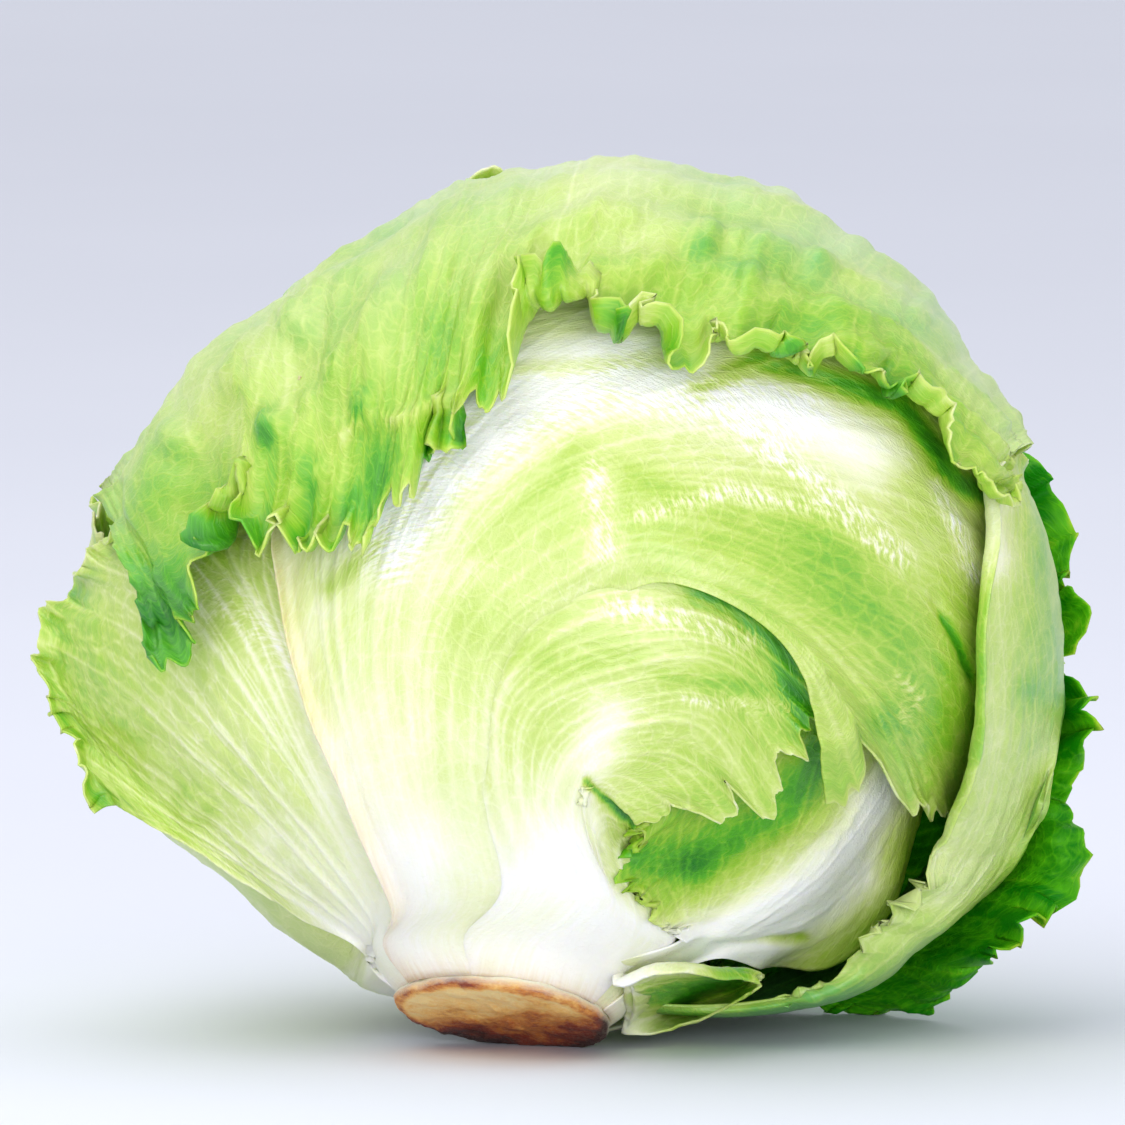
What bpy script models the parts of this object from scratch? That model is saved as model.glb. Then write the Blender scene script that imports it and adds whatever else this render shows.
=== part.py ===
"""An iceberg lettuce lying on a surface, as picked: a dense heart on a cut stem, with loose leaves round it.

Lengths are in millimetres in the tables below and are turned into metres where a mesh is made. The head is
described in its own frame, as seen by someone who stands in front of it and looks slightly down: x to the
right, y away, z up in that view. A leaf lies on the head like a skin, so a point on it is a place in that
view and a lift, its height over the head's plain round body.
"""

import math

import bmesh
import bpy
import numpy as np
from mathutils import Matrix, Vector

MM = 0.001
COLLECTION = "iceberg_lettuce"

# Driving dimensions, in millimetres and degrees
HEAD_CENTRE = (-1.4, -5.4, 77.4)
VIEW_TILT = 6.0
HEAD_RADII = (77, 79, 72, 67, 73, 71, 73, 74)  # every 45 degrees, from the right and over the top
HEAD_HALF_DEPTH = 72.0
SWELL_HEIGHT = 0.5
SWELL_COUNT = 6
SWELL_TURNS = (5, 9)
HEART_DEPTH = 10.0
HEART_STEP = 2.2
HEART_STEPS_ROUND = 5
HEART_STEP_TWIST = 1.1
STEM_AXIS = (-0.13, -0.286, -0.949)
STEM_START = 50.0
STEM_CUT = 77.6
STEM_RADIUS = 19.0
STEM_BEVEL = 0.9
NECK_RADIUS = 15.8
COLLAR_HEIGHT = 2.6
SOCKET_END = 90.0
TURNED_SIDES = 48
GAP = 0.35

# Leaves: where they leave the stem, as a place along it and a radius, and how thick they are
LEAF_ROOT = (73.5, 18.9)
INNER_FLARE = (70.0, 24.5)
RIGHT_FLARE = (70.3, 25.0)
OUTER_FLARE = (72.0, 27.5)
BLADE_THICKNESS = 0.8
RIB_THICKNESS = 2.2
RIB_SPREAD = 0.42
THIN_FROM = 0.75

# Leaves: how finely they are divided, in millimetres
INNER_SPACING = 8.0
ROW_SPACING = 8.5
ROW_CROWDING = 1.2
LEAST_COLUMNS = 7
FINE_PLACES = np.linspace(0, 1, 121)

# Leaves: their margins, as shares of a leaf's length or half width
RUFFLE_REACH = 0.09
TOOTH_REACH = 9
NOTCH_REACH = 6
SMALL_TEETH = 2.6
SIDE_REACH = 0.2


# The head's round body


def wave_weights(count, shares):
    """Weights of a smooth curve through count even points, one row for each share from 0 to 1."""
    place = np.clip(np.asarray(shares, float), 0, 1) * (count - 1)
    first = np.minimum(place.astype(int), count - 2)
    part = place - first
    weights = np.zeros((len(place), count + 2))
    square, cube = part**2, part**3
    rows = np.arange(len(place))
    weights[rows, first] = (-cube + 2 * square - part) / 2
    weights[rows, first + 1] = (3 * cube - 5 * square + 2) / 2
    weights[rows, first + 2] = (-3 * cube + 4 * square + part) / 2
    weights[rows, first + 3] = (cube - square) / 2
    inner = weights[:, 1:-1].copy()
    inner[:, 0] += 2 * weights[:, 0]
    inner[:, 1] -= weights[:, 0]
    inner[:, -1] += 2 * weights[:, -1]
    inner[:, -2] -= weights[:, -1]
    return inner


def swells(directions):
    """Gentle unevenness of the head, the same for every layer, so that the layers nest."""
    rng = np.random.default_rng(11)
    height = 0
    for _ in range(SWELL_COUNT):
        run = rng.normal(size=3)
        run *= rng.uniform(*SWELL_TURNS) / np.linalg.norm(run)
        height = height + np.sin(directions @ run + rng.uniform(0, 2 * math.pi))
    return SWELL_HEIGHT * height


def head_radius(directions):
    """Distance from the head's centre to its round body along each unit direction."""
    radii = np.array(HEAD_RADII + HEAD_RADII[:1], float)
    turn = np.arctan2(directions[:, 2], directions[:, 0]) / (2 * math.pi) % 1
    padded = np.concatenate([radii[-4:-1], radii, radii[1:4]])
    places = (turn * 8 + 3) / (len(padded) - 1)
    outline = wave_weights(len(padded), places) @ padded
    across = np.hypot(directions[:, 0], directions[:, 2])
    plain = 1 / np.sqrt((across / outline) ** 2 + (directions[:, 1] / HEAD_HALF_DEPTH) ** 2)
    return plain + swells(directions)


def unit(vectors):
    return vectors / np.linalg.norm(vectors, axis=-1, keepdims=True)


def seen_at(x, z, lift, side):
    """Direction and lift of the point at this height over the head that the front view shows at x, z."""
    reach = math.hypot(x, z)
    radius = max(75.0, reach)
    for _ in range(12):
        depth = side * math.sqrt(max(radius**2 - reach**2, 0))
        direction = unit(np.array([[x, depth, z]], float))
        radius = max(head_radius(direction)[0] + lift, reach)
    return np.append(direction[0], radius - head_radius(direction)[0])


def shown(*places):
    """Guide points on the side of the head that faces the viewer, from places in the view and lifts."""
    return [seen_at(*place, -1) for place in places]


def hidden(*places):
    """Guide points on the side of the head that faces away."""
    return [seen_at(*place, 1) for place in places]


def stem_frame():
    """The stem's axis, and the directions across it that point to the viewer and to the right."""
    axis = unit(np.array(STEM_AXIS))
    front = unit(np.array([0, -1, 0]) + axis[1] * axis)
    return axis, front, np.cross(front, axis)


def at_stem(angle, along, radius):
    """Direction and lift of a point beside the stem. Angle 0 faces the viewer, 90 is to the right."""
    axis, front, right = stem_frame()
    turn = math.radians(angle)
    place = axis * along + (front * math.cos(turn) + right * math.sin(turn)) * radius
    distance = np.linalg.norm(place)
    direction = place / distance
    return np.append(direction, distance - head_radius(direction[None])[0])


def to_world(points):
    """Points of the head's frame, in millimetres from its centre, as metres in the world."""
    turn = Matrix.Rotation(-math.radians(VIEW_TILT), 3, "X")
    return (points @ np.array(turn).T + HEAD_CENTRE) * MM


# Leaves


def guided_points(leaf, across, places, raised=0):
    """Points on a leaf's smooth skin, in millimetres, at shares across it and places along its guides."""
    guides = np.array(leaf["guides"])
    rows = wave_weights(guides.shape[1], places)
    columns = wave_weights(guides.shape[0], (across + 1) / 2)
    values = np.einsum("pm,pn,mnk->pk", columns, rows, guides)
    directions = unit(values[:, :3])
    radius = head_radius(directions) + values[:, 3] + raised
    return directions * radius[:, None]


def skin_points(leaf, across, along, raised=0):
    """The same points at shares -1 to 1 across the leaf and 0 to 1 of its length."""
    return guided_points(leaf, across, np.interp(along, leaf["run"], FINE_PLACES), raised)


def run_lengths(points):
    """Distance run along a line of points, from 0 at the first."""
    return np.append(0, np.cumsum(np.linalg.norm(np.diff(points, axis=0), axis=1)))


def measure(leaf):
    """Notes a leaf's mean length, and the share of it that is run at places along its guides."""
    runs = [
        run_lengths(guided_points(leaf, np.full(FINE_PLACES.size, across), FINE_PLACES))
        for across in np.linspace(-1, 1, 9)
    ]
    run = np.mean(runs, axis=0)
    leaf["length"] = run[-1]
    leaf["run"] = run / run[-1]


def row_run(leaf, share):
    """Distances run across a leaf's row, at even shares of its width."""
    across = 2 * FINE_PLACES - 1
    return across, run_lengths(skin_points(leaf, across, np.full(across.size, share)))


def evenly_across(leaf, share, spacing):
    """Places across a leaf that lie evenly along one of its rows."""
    across, run = row_run(leaf, share)
    count = max(LEAST_COLUMNS, round(run[-1] / spacing))
    return np.interp(np.linspace(0, run[-1], count), run, across)


def along_margin(leaf, places):
    """Distance along the margin, in millimetres from its middle, at shares across a leaf."""
    across, run = row_run(leaf, 1)
    return np.interp(places, across, run - run[-1] / 2)


def ruffle(leaf, place, along):
    """Outward waves that grow towards the margin, in millimetres."""
    rng = np.random.default_rng(leaf["seed"])
    phase, sway = rng.uniform(0, 2 * math.pi, 2)
    turn = 2 * math.pi * place / leaf["wave_length"]
    wave = np.sin(turn + phase + 1.4 * np.sin(turn * 0.37 + sway))
    return leaf["wave_height"] * (0.5 + 0.5 * wave) * np.exp((along - 1) / RUFFLE_REACH)


def teeth(leaf, place, along):
    """How far the margin is cut back, as a share of the leaf's length."""
    rng = np.random.default_rng(leaf["seed"])
    phase = rng.uniform(0, 1, 2)
    coarse = np.abs((place / leaf["tooth_width"] + phase[0]) % 1 - 0.5) * 2
    fine = np.abs((place / leaf["tooth_width"] * SMALL_TEETH + phase[1]) % 1 - 0.5) * 2
    return leaf["tooth_depth"] * (0.65 * coarse + 0.35 * fine) * along**TOOTH_REACH


def notched(leaf, across, along):
    """The deep cuts of a margin: each is a place across the leaf, a depth and a half width."""
    cut = np.zeros_like(across)
    for place, depth, half_width in leaf["notches"]:
        cut += depth * np.clip(1 - np.abs(across - place) / half_width, 0, 1) * along**NOTCH_REACH
    return cut


def side_frill(leaf, across, along):
    """Waves along the two sides of a leaf."""
    edge = np.maximum(np.abs(across) - 1 + SIDE_REACH, 0) / SIDE_REACH
    return leaf["side_height"] * edge * along * (0.5 + 0.5 * np.sin(along * leaf["side_waves"]))


def leaf_points(leaf, across, along):
    """Points of a leaf's outer face, in metres in the world."""
    place = along_margin(leaf, across)
    cut = teeth(leaf, place, along) + notched(leaf, across, along)
    raised = ruffle(leaf, place, along) + side_frill(leaf, across, along)
    return to_world(skin_points(leaf, across, along - cut, raised))


def leaf_thickness(leaf, across, along):
    """Thick and white at the base and along the middle, thin at the margin."""
    rib = np.exp(-(((across - leaf["rib_at"]) / RIB_SPREAD) ** 2))
    base = np.clip(1 - along / THIN_FROM, 0, 1)
    side = np.sqrt(1 - across**2)
    return base * (0.6 + 0.4 * rib) * side


def strip(lower, upper, places):
    """Triangles between two rows of vertices, joined where their places across the leaf are nearest."""
    faces = []
    i = j = 0
    while i < len(lower) - 1 or j < len(upper) - 1:
        if j == len(upper) - 1 or (i < len(lower) - 1 and places[lower[i + 1]] <= places[upper[j + 1]]):
            faces.append((lower[i], lower[i + 1], upper[j]))
            i += 1
        else:
            faces.append((lower[i], upper[j + 1], upper[j]))
            j += 1
    return faces


def leaf_mesh(leaf):
    """The outer face of a leaf as rows of triangles, finer towards the margin, and its thickness shares."""
    across, along, rows = [], [], []
    steps = round(leaf["length"] / ROW_SPACING) + 2
    for share in 1 - (1 - np.arange(steps + 1) / steps) ** ROW_CROWDING:
        spacing = INNER_SPACING + (leaf["margin_spacing"] - INNER_SPACING) * share**1.5
        places = evenly_across(leaf, share, spacing)
        rows.append(np.arange(places.size) + sum(map(len, rows)))
        across.append(places)
        along.append(np.full(places.size, share))
    across, along = np.concatenate(across), np.concatenate(along)
    points = leaf_points(leaf, across, along)
    points[:, 2] = np.maximum(points[:, 2], leaf["lowest"] * MM)
    form = bmesh.new()
    vertices = [form.verts.new(point) for point in points]
    for lower, upper in zip(rows[:-1], rows[1:]):
        for face in strip(lower, upper, across):
            form.faces.new([vertices[i] for i in face])
    form.normal_update()
    centre = Vector(HEAD_CENTRE) * MM
    outward = sum(face.normal.dot(face.calc_center_median() - centre) for face in form.faces)
    if outward < 0:
        bmesh.ops.reverse_faces(form, faces=form.faces)
    mesh = bpy.data.meshes.new(leaf["name"])
    form.to_mesh(mesh)
    form.free()
    return mesh, leaf_thickness(leaf, across, along)


def add_leaf(collection, **leaf):
    """A leaf as an open sheet on the head, made solid inwards."""
    settings = dict(
        tooth_width=14, tooth_depth=0.03, notches=(), wave_length=24, wave_height=2.5, side_height=0,
        side_waves=20, rib_at=0, margin_spacing=4.4, roughness=0.45,
        flare=INNER_FLARE, lowest=0,
    )
    leaf = settings | leaf
    first, last = leaf["stem_angles"]
    for angle, guide in zip(np.linspace(first, last, len(leaf["guides"])), leaf["guides"]):
        guide[:0] = [at_stem(angle, *LEAF_ROOT), at_stem(angle, *leaf["flare"])]
    measure(leaf)
    mesh, thickness = leaf_mesh(leaf)
    blade = bpy.data.objects.new(leaf["name"], mesh)
    collection.objects.link(blade)
    group = blade.vertex_groups.new(name="thickness")
    for index, share in enumerate(thickness):
        group.add([index], float(share), "REPLACE")
    solid = blade.modifiers.new("thickness", "SOLIDIFY")
    solid.thickness = RIB_THICKNESS * MM
    solid.offset = -1
    solid.vertex_group = group.name
    solid.thickness_vertex_group = BLADE_THICKNESS / RIB_THICKNESS
    mesh.materials.append(plain_material(leaf["name"], leaf["colour"], leaf["roughness"]))
    mesh.shade_smooth()
    return blade


def plain_material(name, colour, roughness):
    material = bpy.data.materials.new(name)
    material.use_nodes = True
    shader = material.node_tree.nodes["Principled BSDF"]
    shader.inputs["Base Color"].default_value = (*colour, 1)
    shader.inputs["Roughness"].default_value = roughness
    shader.inputs["Metallic"].default_value = 0
    return material


def leaf_front(collection):
    add_leaf(
        collection, name="leaf_front", seed=3, stem_angles=(-18, 46), colour=(0.66, 0.82, 0.40),
        wave_height=1, tooth_depth=0.05, tooth_width=10, margin_spacing=3.2, rib_at=-0.3,
        guides=[
            shown((-13, -50, -0.5), (-17, -30, -0.7), (-14, -10, -0.7), (0, 8, -0.8),
                  (28, 10, -0.8), (50, -12, 0)),
            shown((-8, -50, 0), (-12, -32, -0.3), (-11, -14, -0.5), (3, -1, -0.5),
                  (26, -1, -0.5), (48, -18, 0)),
            shown((-2, -49, 0), (-7, -33, 0), (-5, -19, 0), (9, -12, 0), (28, -10, 0), (45, -26, 0)),
            shown((3, -50, 0), (-2, -36, 0), (2, -26, 0), (13, -21, 0), (26, -22, 0), (38, -39, 1)),
            shown((8, -52, 0), (3, -40, 0), (5, -31, 0), (13, -28, 0), (21, -30, 0), (31, -39, 1)),
            shown((9, -53, 0), (5, -42, 0), (4, -35, 0), (7, -33, 0), (11, -35.5, 0.5), (14, -39.5, 1.5)),
            shown((11, -55, 0), (9, -48, -0.3), (8, -43, -0.6), (9, -40.5, -1.2), (11, -40.3, -2.4),
                  (13.5, -41, -3.8)),
            shown((14, -58, -1), (14.5, -53, -2.4), (14.5, -49, -4), (14.5, -46, -4.8), (15, -45, -5.4),
                  (16, -44.5, -6)),
        ],
    )


def leaf_fold(collection):
    add_leaf(
        collection, name="leaf_fold", seed=5, stem_angles=(-62, -22), colour=(0.48, 0.70, 0.18),
        wave_length=30, wave_height=0.8, tooth_width=16, rib_at=-0.6,
        notches=((0.86, 0.09, 0.09),),
        guides=[
            shown((-29, -53, 2), (-37, -34, 2), (-43, -20, 2), (-47, -5, 2), (-49, 8, 2),
                  (-49, 22, 2), (-44, 38, 2)),
            shown((-26, -52, 2), (-33, -32, 2.5), (-38, -13, 2.5), (-39, 6, 2.5),
                  (-36, 24, 2), (-28, 42, 2), (-16, 58, 1.5)),
            shown((-23, -52, 2), (-29, -31, 2.5), (-33, -9, 2.5), (-30, 13, 2.5),
                  (-19, 33, 2.5), (-2, 49, 2), (22, 62, 1.5)),
            shown((-21, -51, 1.8), (-26, -30, 2), (-27, -7, 2), (-20, 14, 2), (-3, 31, 2),
                  (24, 43, 2), (56, 50, 1.5)),
            shown((-19, -51, 1.5), (-23, -29, 1.6), (-23, -6, 1.6), (-12, 13, 1.6),
                  (9, 25, 1.6), (40, 28, 2), (77, 16, 2)),
            shown((-17, -50, 1.2), (-21, -28, 1.2), (-19, -6, 1.2), (-6, 9, 1.2),
                  (16, 17, 1.5), (48, 9, 2.5), (78, -20, 2)),
            shown((-16, -50, 0.8), (-20, -28, 0.8), (-17, -8, 0.8), (-2, 4, 0.8),
                  (18, 9, 1.5), (47, -4, 3.5), (66, -41, 2.5)),
            shown((-15, -50, 0.6), (-19, -28, 0.6), (-15, -9, 0.6), (0, 2, 0.6), (19, 4, 1.2),
                  (40, -9, 3.5), (46, -36, 4)),
        ],
    )


def leaf_hollow(collection):
    add_leaf(
        collection, name="leaf_hollow", seed=8, stem_angles=(52, 72), colour=(0.26, 0.55, 0.05),
        wave_height=0.5, rib_at=0.3, tooth_depth=0.02,
        guides=[
            shown((21, -60, 0.5), (17, -57, 0.6), (13, -52.5, 0.8), (10.5, -48, 0.8),
                  (14.5, -44, -0.8), (20, -37, -3)),
            shown((22, -60, 0), (22, -54, -3), (21, -47, -6), (21, -42, -6), (23, -35, -5), (26, -25, -5)),
            shown((24, -60, -1), (28, -54, -4), (32, -47, -6), (34, -39, -6), (36, -29, -5), (38, -15, -5)),
            shown((26, -61, -1), (36, -54, -2), (45, -46, -3), (51, -38, -3.5), (56, -29, -4),
                  (60, -15, -5)),
            shown((27, -62, -1), (42, -57, -1), (52, -49, -1.5), (58, -40, -2), (62, -31, -3),
                  (66, -18, -5)),
            shown((28, -63, 0), (38, -65, 1), (48, -65, 1.5), (57, -57, 1), (62, -44, -1.5), (65, -30, -4)),
        ],
    )


def leaf_left(collection):
    add_leaf(
        collection, name="leaf_left", seed=13, stem_angles=(-108, -66), colour=(0.42, 0.66, 0.16),
        wave_length=20, wave_height=2, tooth_width=9, tooth_depth=0.05, margin_spacing=3.2, rib_at=0.2,
        guides=[
            shown((-36, -61, 3), (-46, -56, 4), (-58, -48, 7), (-70, -41, 12), (-81, -34, 16)),
            shown((-35, -60, 2), (-48, -50, 3), (-62, -39, 6), (-76, -29, 10), (-88, -18, 17)),
            shown((-34, -57, 1.5), (-46, -43, 2), (-60, -29, 4), (-76, -15, 8), (-92, -5, 18)),
            shown((-33, -53, 1), (-44, -35, 1), (-57, -17, 3), (-70, -1, 4.5), (-83, 6, 10)),
            shown((-31, -51, 0), (-42, -29, 0), (-51, -9, 1), (-60, 6, 2), (-67, 17, 2)),
            shown((-28, -50, -2), (-37, -33, -2.5), (-44, -14, -2), (-47, 5, -1.5), (-48, 22, -1)),
        ],
    )


def leaf_right(collection):
    add_leaf(
        collection, name="leaf_right", seed=17, stem_angles=(104, 124), colour=(0.40, 0.62, 0.14),
        wave_height=1, side_height=1.6, side_waves=30, margin_spacing=6,
        guides=[
            shown((48, -69, 10), (58, -60, 10), (66, -49, 8), (71, -35, 7), (73, -15, 6.5),
                  (74, 5, 6.5), (74, 27, 3)),
            shown((50, -71, 12.4), (60, -62, 12), (71, -50, 11.5), (77, -34, 9.5),
                  (83, -14, 10), (82, 5, 8.5), (77, 28, 3)),
            hidden((48, -68, 13.5), (59, -60, 13), (70, -49, 12), (79, -33, 11),
                   (86, -13, 10.5), (85, 5, 8.5), (77, 27, 3)),
            hidden((43, -63, 12.5), (55, -56, 12), (66, -46, 11), (75, -31, 10),
                   (82, -12, 8.5), (80, 3, 7), (75, 20, 3.5)),
        ],
    )


def leaf_remnant(collection):
    add_leaf(
        collection, name="leaf_remnant", seed=19, stem_angles=(79, 101), colour=(0.20, 0.34, 0.06),
        wave_height=0.5, tooth_depth=0.06, tooth_width=5, margin_spacing=3,
        guides=[
            shown((14, -66, 2.5), (22, -64, 3), (32, -64, 3.5)),
            shown((14, -69, 2), (23, -68, 1.5), (34, -66, 3)),
            shown((14, -73, 3), (23, -72, 3), (33, -68, 4)),
            shown((13, -76, 5), (23, -75, 6), (33, -70, 6)),
        ],
    )


def wrapper_top(collection):
    add_leaf(
        collection, name="wrapper_top", seed=23, stem_angles=(182, 214), colour=(0.38, 0.66, 0.09),
        wave_height=3.5, tooth_width=11, tooth_depth=0.02, margin_spacing=4.8,
        guides=[
            hidden((26, -46, 5), (64, -6, 5), (75, 19, 6))
            + shown((80, 26, 8), (80, 22, 8.5), (79, 18, 9.5)),
            hidden((20, -44, 4.5), (60, 5, 5), (70, 28, 5.5))
            + shown((76, 33, 6.5), (74, 27, 7.5), (70, 21, 8.5)),
            hidden((14, -40, 4.5), (46, 12, 5), (58, 42, 5))
            + shown((63, 49, 5.5), (62, 42, 6.5), (60, 36, 8)),
            hidden((8, -38, 4.5), (32, 18, 5), (42, 52, 5))
            + shown((46, 62, 5), (44, 50, 6), (42, 41, 7.5)),
            hidden((2, -36, 4.5), (18, 22, 5), (24, 62, 5))
            + shown((27, 71, 5), (23, 56, 6), (21, 41, 7.5)),
            hidden((-4, -35, 4.5), (4, 25, 5), (8, 66, 5)) + shown((8, 75, 5), (5, 62, 6), (3, 49, 7.5)),
            hidden((-10, -35, 4.5), (-10, 25, 5), (-8, 66, 5))
            + shown((-8, 73, 5), (-13, 54, 6), (-15, 37, 7.5)),
            hidden((-16, -36, 4.5), (-22, 22, 5), (-22, 62, 5))
            + shown((-24, 68, 5), (-30, 42, 6), (-34, 14, 7.5)),
            hidden((-22, -38, 4.5), (-36, 18, 5), (-40, 54, 5))
            + shown((-40, 58, 5), (-44, 34, 6), (-46, 10, 8)),
            hidden((-28, -40, 4.5), (-48, 10, 5), (-55, 42, 5))
            + shown((-58, 46, 5.5), (-57, 32, 6.5), (-54, 16, 8)),
            hidden((-33, -43, 4), (-56, 0, 5), (-70, 25, 5.5))
            + shown((-74, 28, 6.5), (-70, 12, 7.5), (-62, 1, 8)),
            hidden((-36, -45, 3.5), (-62, -10, 5), (-76, 15, 6.5))
            + shown((-79, 19, 9), (-75, 6, 10), (-67, -12, 9.5)),
        ],
    )


def wrapper_right(collection):
    add_leaf(
        collection, name="wrapper_right", seed=29, stem_angles=(128, 146), colour=(0.03, 0.16, 0.02),
        wave_height=3, tooth_width=13, flare=RIGHT_FLARE, lowest=0.9,
        guides=[
            hidden((26, -68, 10), (32, -70, 13.5), (38, -71, 16.5), (48, -74, 22), (56, -74, 27)),
            hidden((25, -66, 10.5), (38, -62, 13.5), (54, -60, 15), (68, -60, 18), (78, -61, 23)),
            hidden((24, -64, 10.5), (42, -53, 12), (60, -50, 14), (78, -49, 19), (92, -50, 27)),
            hidden((22, -62, 10), (46, -42, 11), (66, -32, 12), (82, -24, 14), (91, -18, 17)),
            hidden((20, -60, 10), (44, -32, 10), (66, -14, 11), (80, -4, 12), (88, 7, 13)),
            hidden((17, -58, 9.5), (39, -23, 9.5), (58, 4, 9.5), (72, 16, 10), (84, 18, 10)),
            hidden((14, -56, 9.5), (33, -14, 9), (44, 14, 9), (54, 30, 9), (64, 42, 9)),
        ],
    )


def wrapper_left(collection):
    add_leaf(
        collection, name="wrapper_left", seed=31, stem_angles=(-142, -112), colour=(0.16, 0.40, 0.04),
        tooth_width=13, flare=OUTER_FLARE,
        guides=[
            hidden((-4, -52, 9.5), (-4, -28, 9), (0, 2, 8.5), (5, 30, 8.5), (8, 52, 8.5), (12, 68, 8)),
            hidden((-10, -54, 9.5), (-16, -34, 9), (-18, -4, 8.5), (-17, 26, 8.5),
                   (-14, 56, 8.5), (-9, 77.5, 8.5)),
            hidden((-16, -57, 9), (-30, -40, 9), (-38, -16, 9), (-42, 10, 9), (-40, 38, 9), (-32, 62, 9)),
            hidden((-23, -59, 9.5), (-40, -46, 8.5), (-54, -28, 9), (-61, -6, 10),
                   (-62, 16, 10), (-56, 38, 10)),
            hidden((-30, -62, 9), (-48, -50, 8.5), (-64, -35, 9), (-73, -16, 10),
                   (-76, 4, 10), (-74, 22, 10)),
            hidden((-36, -63, 8), (-56, -51, 7.5), (-73, -39, 11.5), (-83, -27, 14),
                   (-83, -8, 12), (-81, 10, 10)),
            shown((-36, -58, 0), (-50, -46, 0.5), (-64, -32, 2), (-72, -18, 3), (-75, -6, 4), (-77, 4, 5)),
        ],
    )


def wrapper_back(collection):
    add_leaf(
        collection, name="wrapper_back", seed=37, stem_angles=(150, 178), colour=(0.20, 0.46, 0.05),
        tooth_width=13, flare=OUTER_FLARE,
        guides=[
            hidden((32, -71, 20), (46, -52, 16), (57, -28, 13.5), (61, -6, 12.5),
                   (60, 12, 12), (54, 28, 12)),
            hidden((24, -73, 21), (32, -54, 17), (37, -30, 13), (39, -2, 12), (38, 22, 11.5), (34, 42, 11)),
            hidden((11, -74, 21), (11, -56, 17), (11, -30, 13), (11, 0, 12), (12, 28, 11.5), (14, 50, 11)),
            hidden((-3, -74, 21), (-8, -56, 17), (-13, -30, 13), (-14, 0, 12),
                   (-12, 28, 11.5), (-8, 52, 11)),
            hidden((-16, -73, 19), (-27, -56, 16), (-34, -30, 13), (-37, -2, 12.5),
                   (-36, 22, 12), (-30, 42, 12)),
        ],
    )


# Stem and heart


def stem_matrix():
    """Places a piece whose own z axis runs down the stem, from the head's centre to the cut."""
    axis, front, right = stem_frame()
    turn = Matrix.Rotation(-math.radians(VIEW_TILT), 3, "X")
    columns = [turn @ Vector(column) for column in (front, right, axis)]
    if columns[0].cross(columns[1]).dot(columns[2]) < 0:
        columns[1].negate()
    matrix = Matrix(columns).transposed().to_4x4()
    matrix.translation = Vector(HEAD_CENTRE) * MM
    return matrix


def turned(name, profile):
    """A solid of revolution about z: profile points are (radius, height) in millimetres, top first."""
    mesh = bpy.data.meshes.new(name)
    points = [(radius * MM, 0, height * MM) for radius, height in profile]
    mesh.from_pydata(points, [(i, i + 1) for i in range(len(points) - 1)], [])
    piece = bpy.data.objects.new(name, mesh)
    screw = piece.modifiers.new("turn", "SCREW")
    screw.angle = 2 * math.pi
    screw.steps = screw.render_steps = TURNED_SIDES
    screw.use_merge_vertices = True
    screw.merge_threshold = 0.00001
    return piece


def stem(collection, cutters):
    """The stump: a neck that the leaf bases stand round, and the cut end, worn flat where it rests."""
    collar = STEM_CUT - COLLAR_HEIGHT
    profile = [
        (0, STEM_CUT), (STEM_RADIUS - STEM_BEVEL, STEM_CUT), (STEM_RADIUS, STEM_CUT - STEM_BEVEL),
        (STEM_RADIUS, collar), (NECK_RADIUS, collar), (NECK_RADIUS - 1, STEM_START), (0, STEM_START),
    ]
    piece = turned("stem", profile)
    piece.matrix_world = stem_matrix()
    collection.objects.link(piece)
    piece.data.materials.append(plain_material("stem", (0.55, 0.30, 0.12), 0.6))
    bpy.ops.mesh.primitive_cube_add(size=0.2, location=(0, 0, -0.1))
    surface = bpy.context.object
    surface.name = "surface_cutter"
    make_cutter(surface, cutters)
    cut = piece.modifiers.new("resting flat", "BOOLEAN")
    cut.operation = "DIFFERENCE"
    cut.object = surface


def make_cutter(piece, cutters):
    for holder in list(piece.users_collection):
        holder.objects.unlink(piece)
    cutters.objects.link(piece)
    piece.hide_render = True
    piece.display_type = "WIRE"


def heart(collection, cutters):
    """The dense ball of inner leaves, with the edges of its outermost ones as low steps."""
    form = bmesh.new()
    bmesh.ops.create_icosphere(form, subdivisions=4, radius=1)
    directions = unit(np.array([vertex.co for vertex in form.verts]))
    axis, front, right = stem_frame()
    turn = np.arctan2(directions @ right, directions @ front) / (2 * math.pi)
    height = directions @ axis
    step = ((turn * HEART_STEPS_ROUND + height * HEART_STEP_TWIST) % 1) ** 3
    step *= np.sqrt(np.maximum(1 - height**2, 0))
    radius = head_radius(directions) - HEART_DEPTH - HEART_STEP * step
    for vertex, place in zip(form.verts, to_world(directions * radius[:, None])):
        vertex.co = place
    mesh = bpy.data.meshes.new("heart")
    form.to_mesh(mesh)
    form.free()
    ball = bpy.data.objects.new("heart", mesh)
    collection.objects.link(ball)
    mesh.materials.append(plain_material("heart", (0.70, 0.82, 0.42), 0.5))
    radius, end = NECK_RADIUS + GAP, STEM_START - GAP
    socket = turned("stem_socket", [(0, SOCKET_END), (radius, SOCKET_END), (radius, end), (0, end)])
    socket.matrix_world = stem_matrix()
    make_cutter(socket, cutters)
    cut = ball.modifiers.new("stem socket", "BOOLEAN")
    cut.operation = "DIFFERENCE"
    cut.object = socket


def main():
    for old in list(bpy.data.objects):
        bpy.data.objects.remove(old)
    collection = bpy.data.collections.new(COLLECTION)
    cutters = bpy.data.collections.new("cutters")
    for group in (collection, cutters):
        bpy.context.scene.collection.children.link(group)
    stem(collection, cutters)
    heart(collection, cutters)
    for leaf in (
        leaf_front, leaf_fold, leaf_hollow, leaf_left, leaf_right, leaf_remnant,
        wrapper_top, wrapper_right, wrapper_left, wrapper_back,
    ):
        leaf(collection)


main()
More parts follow.
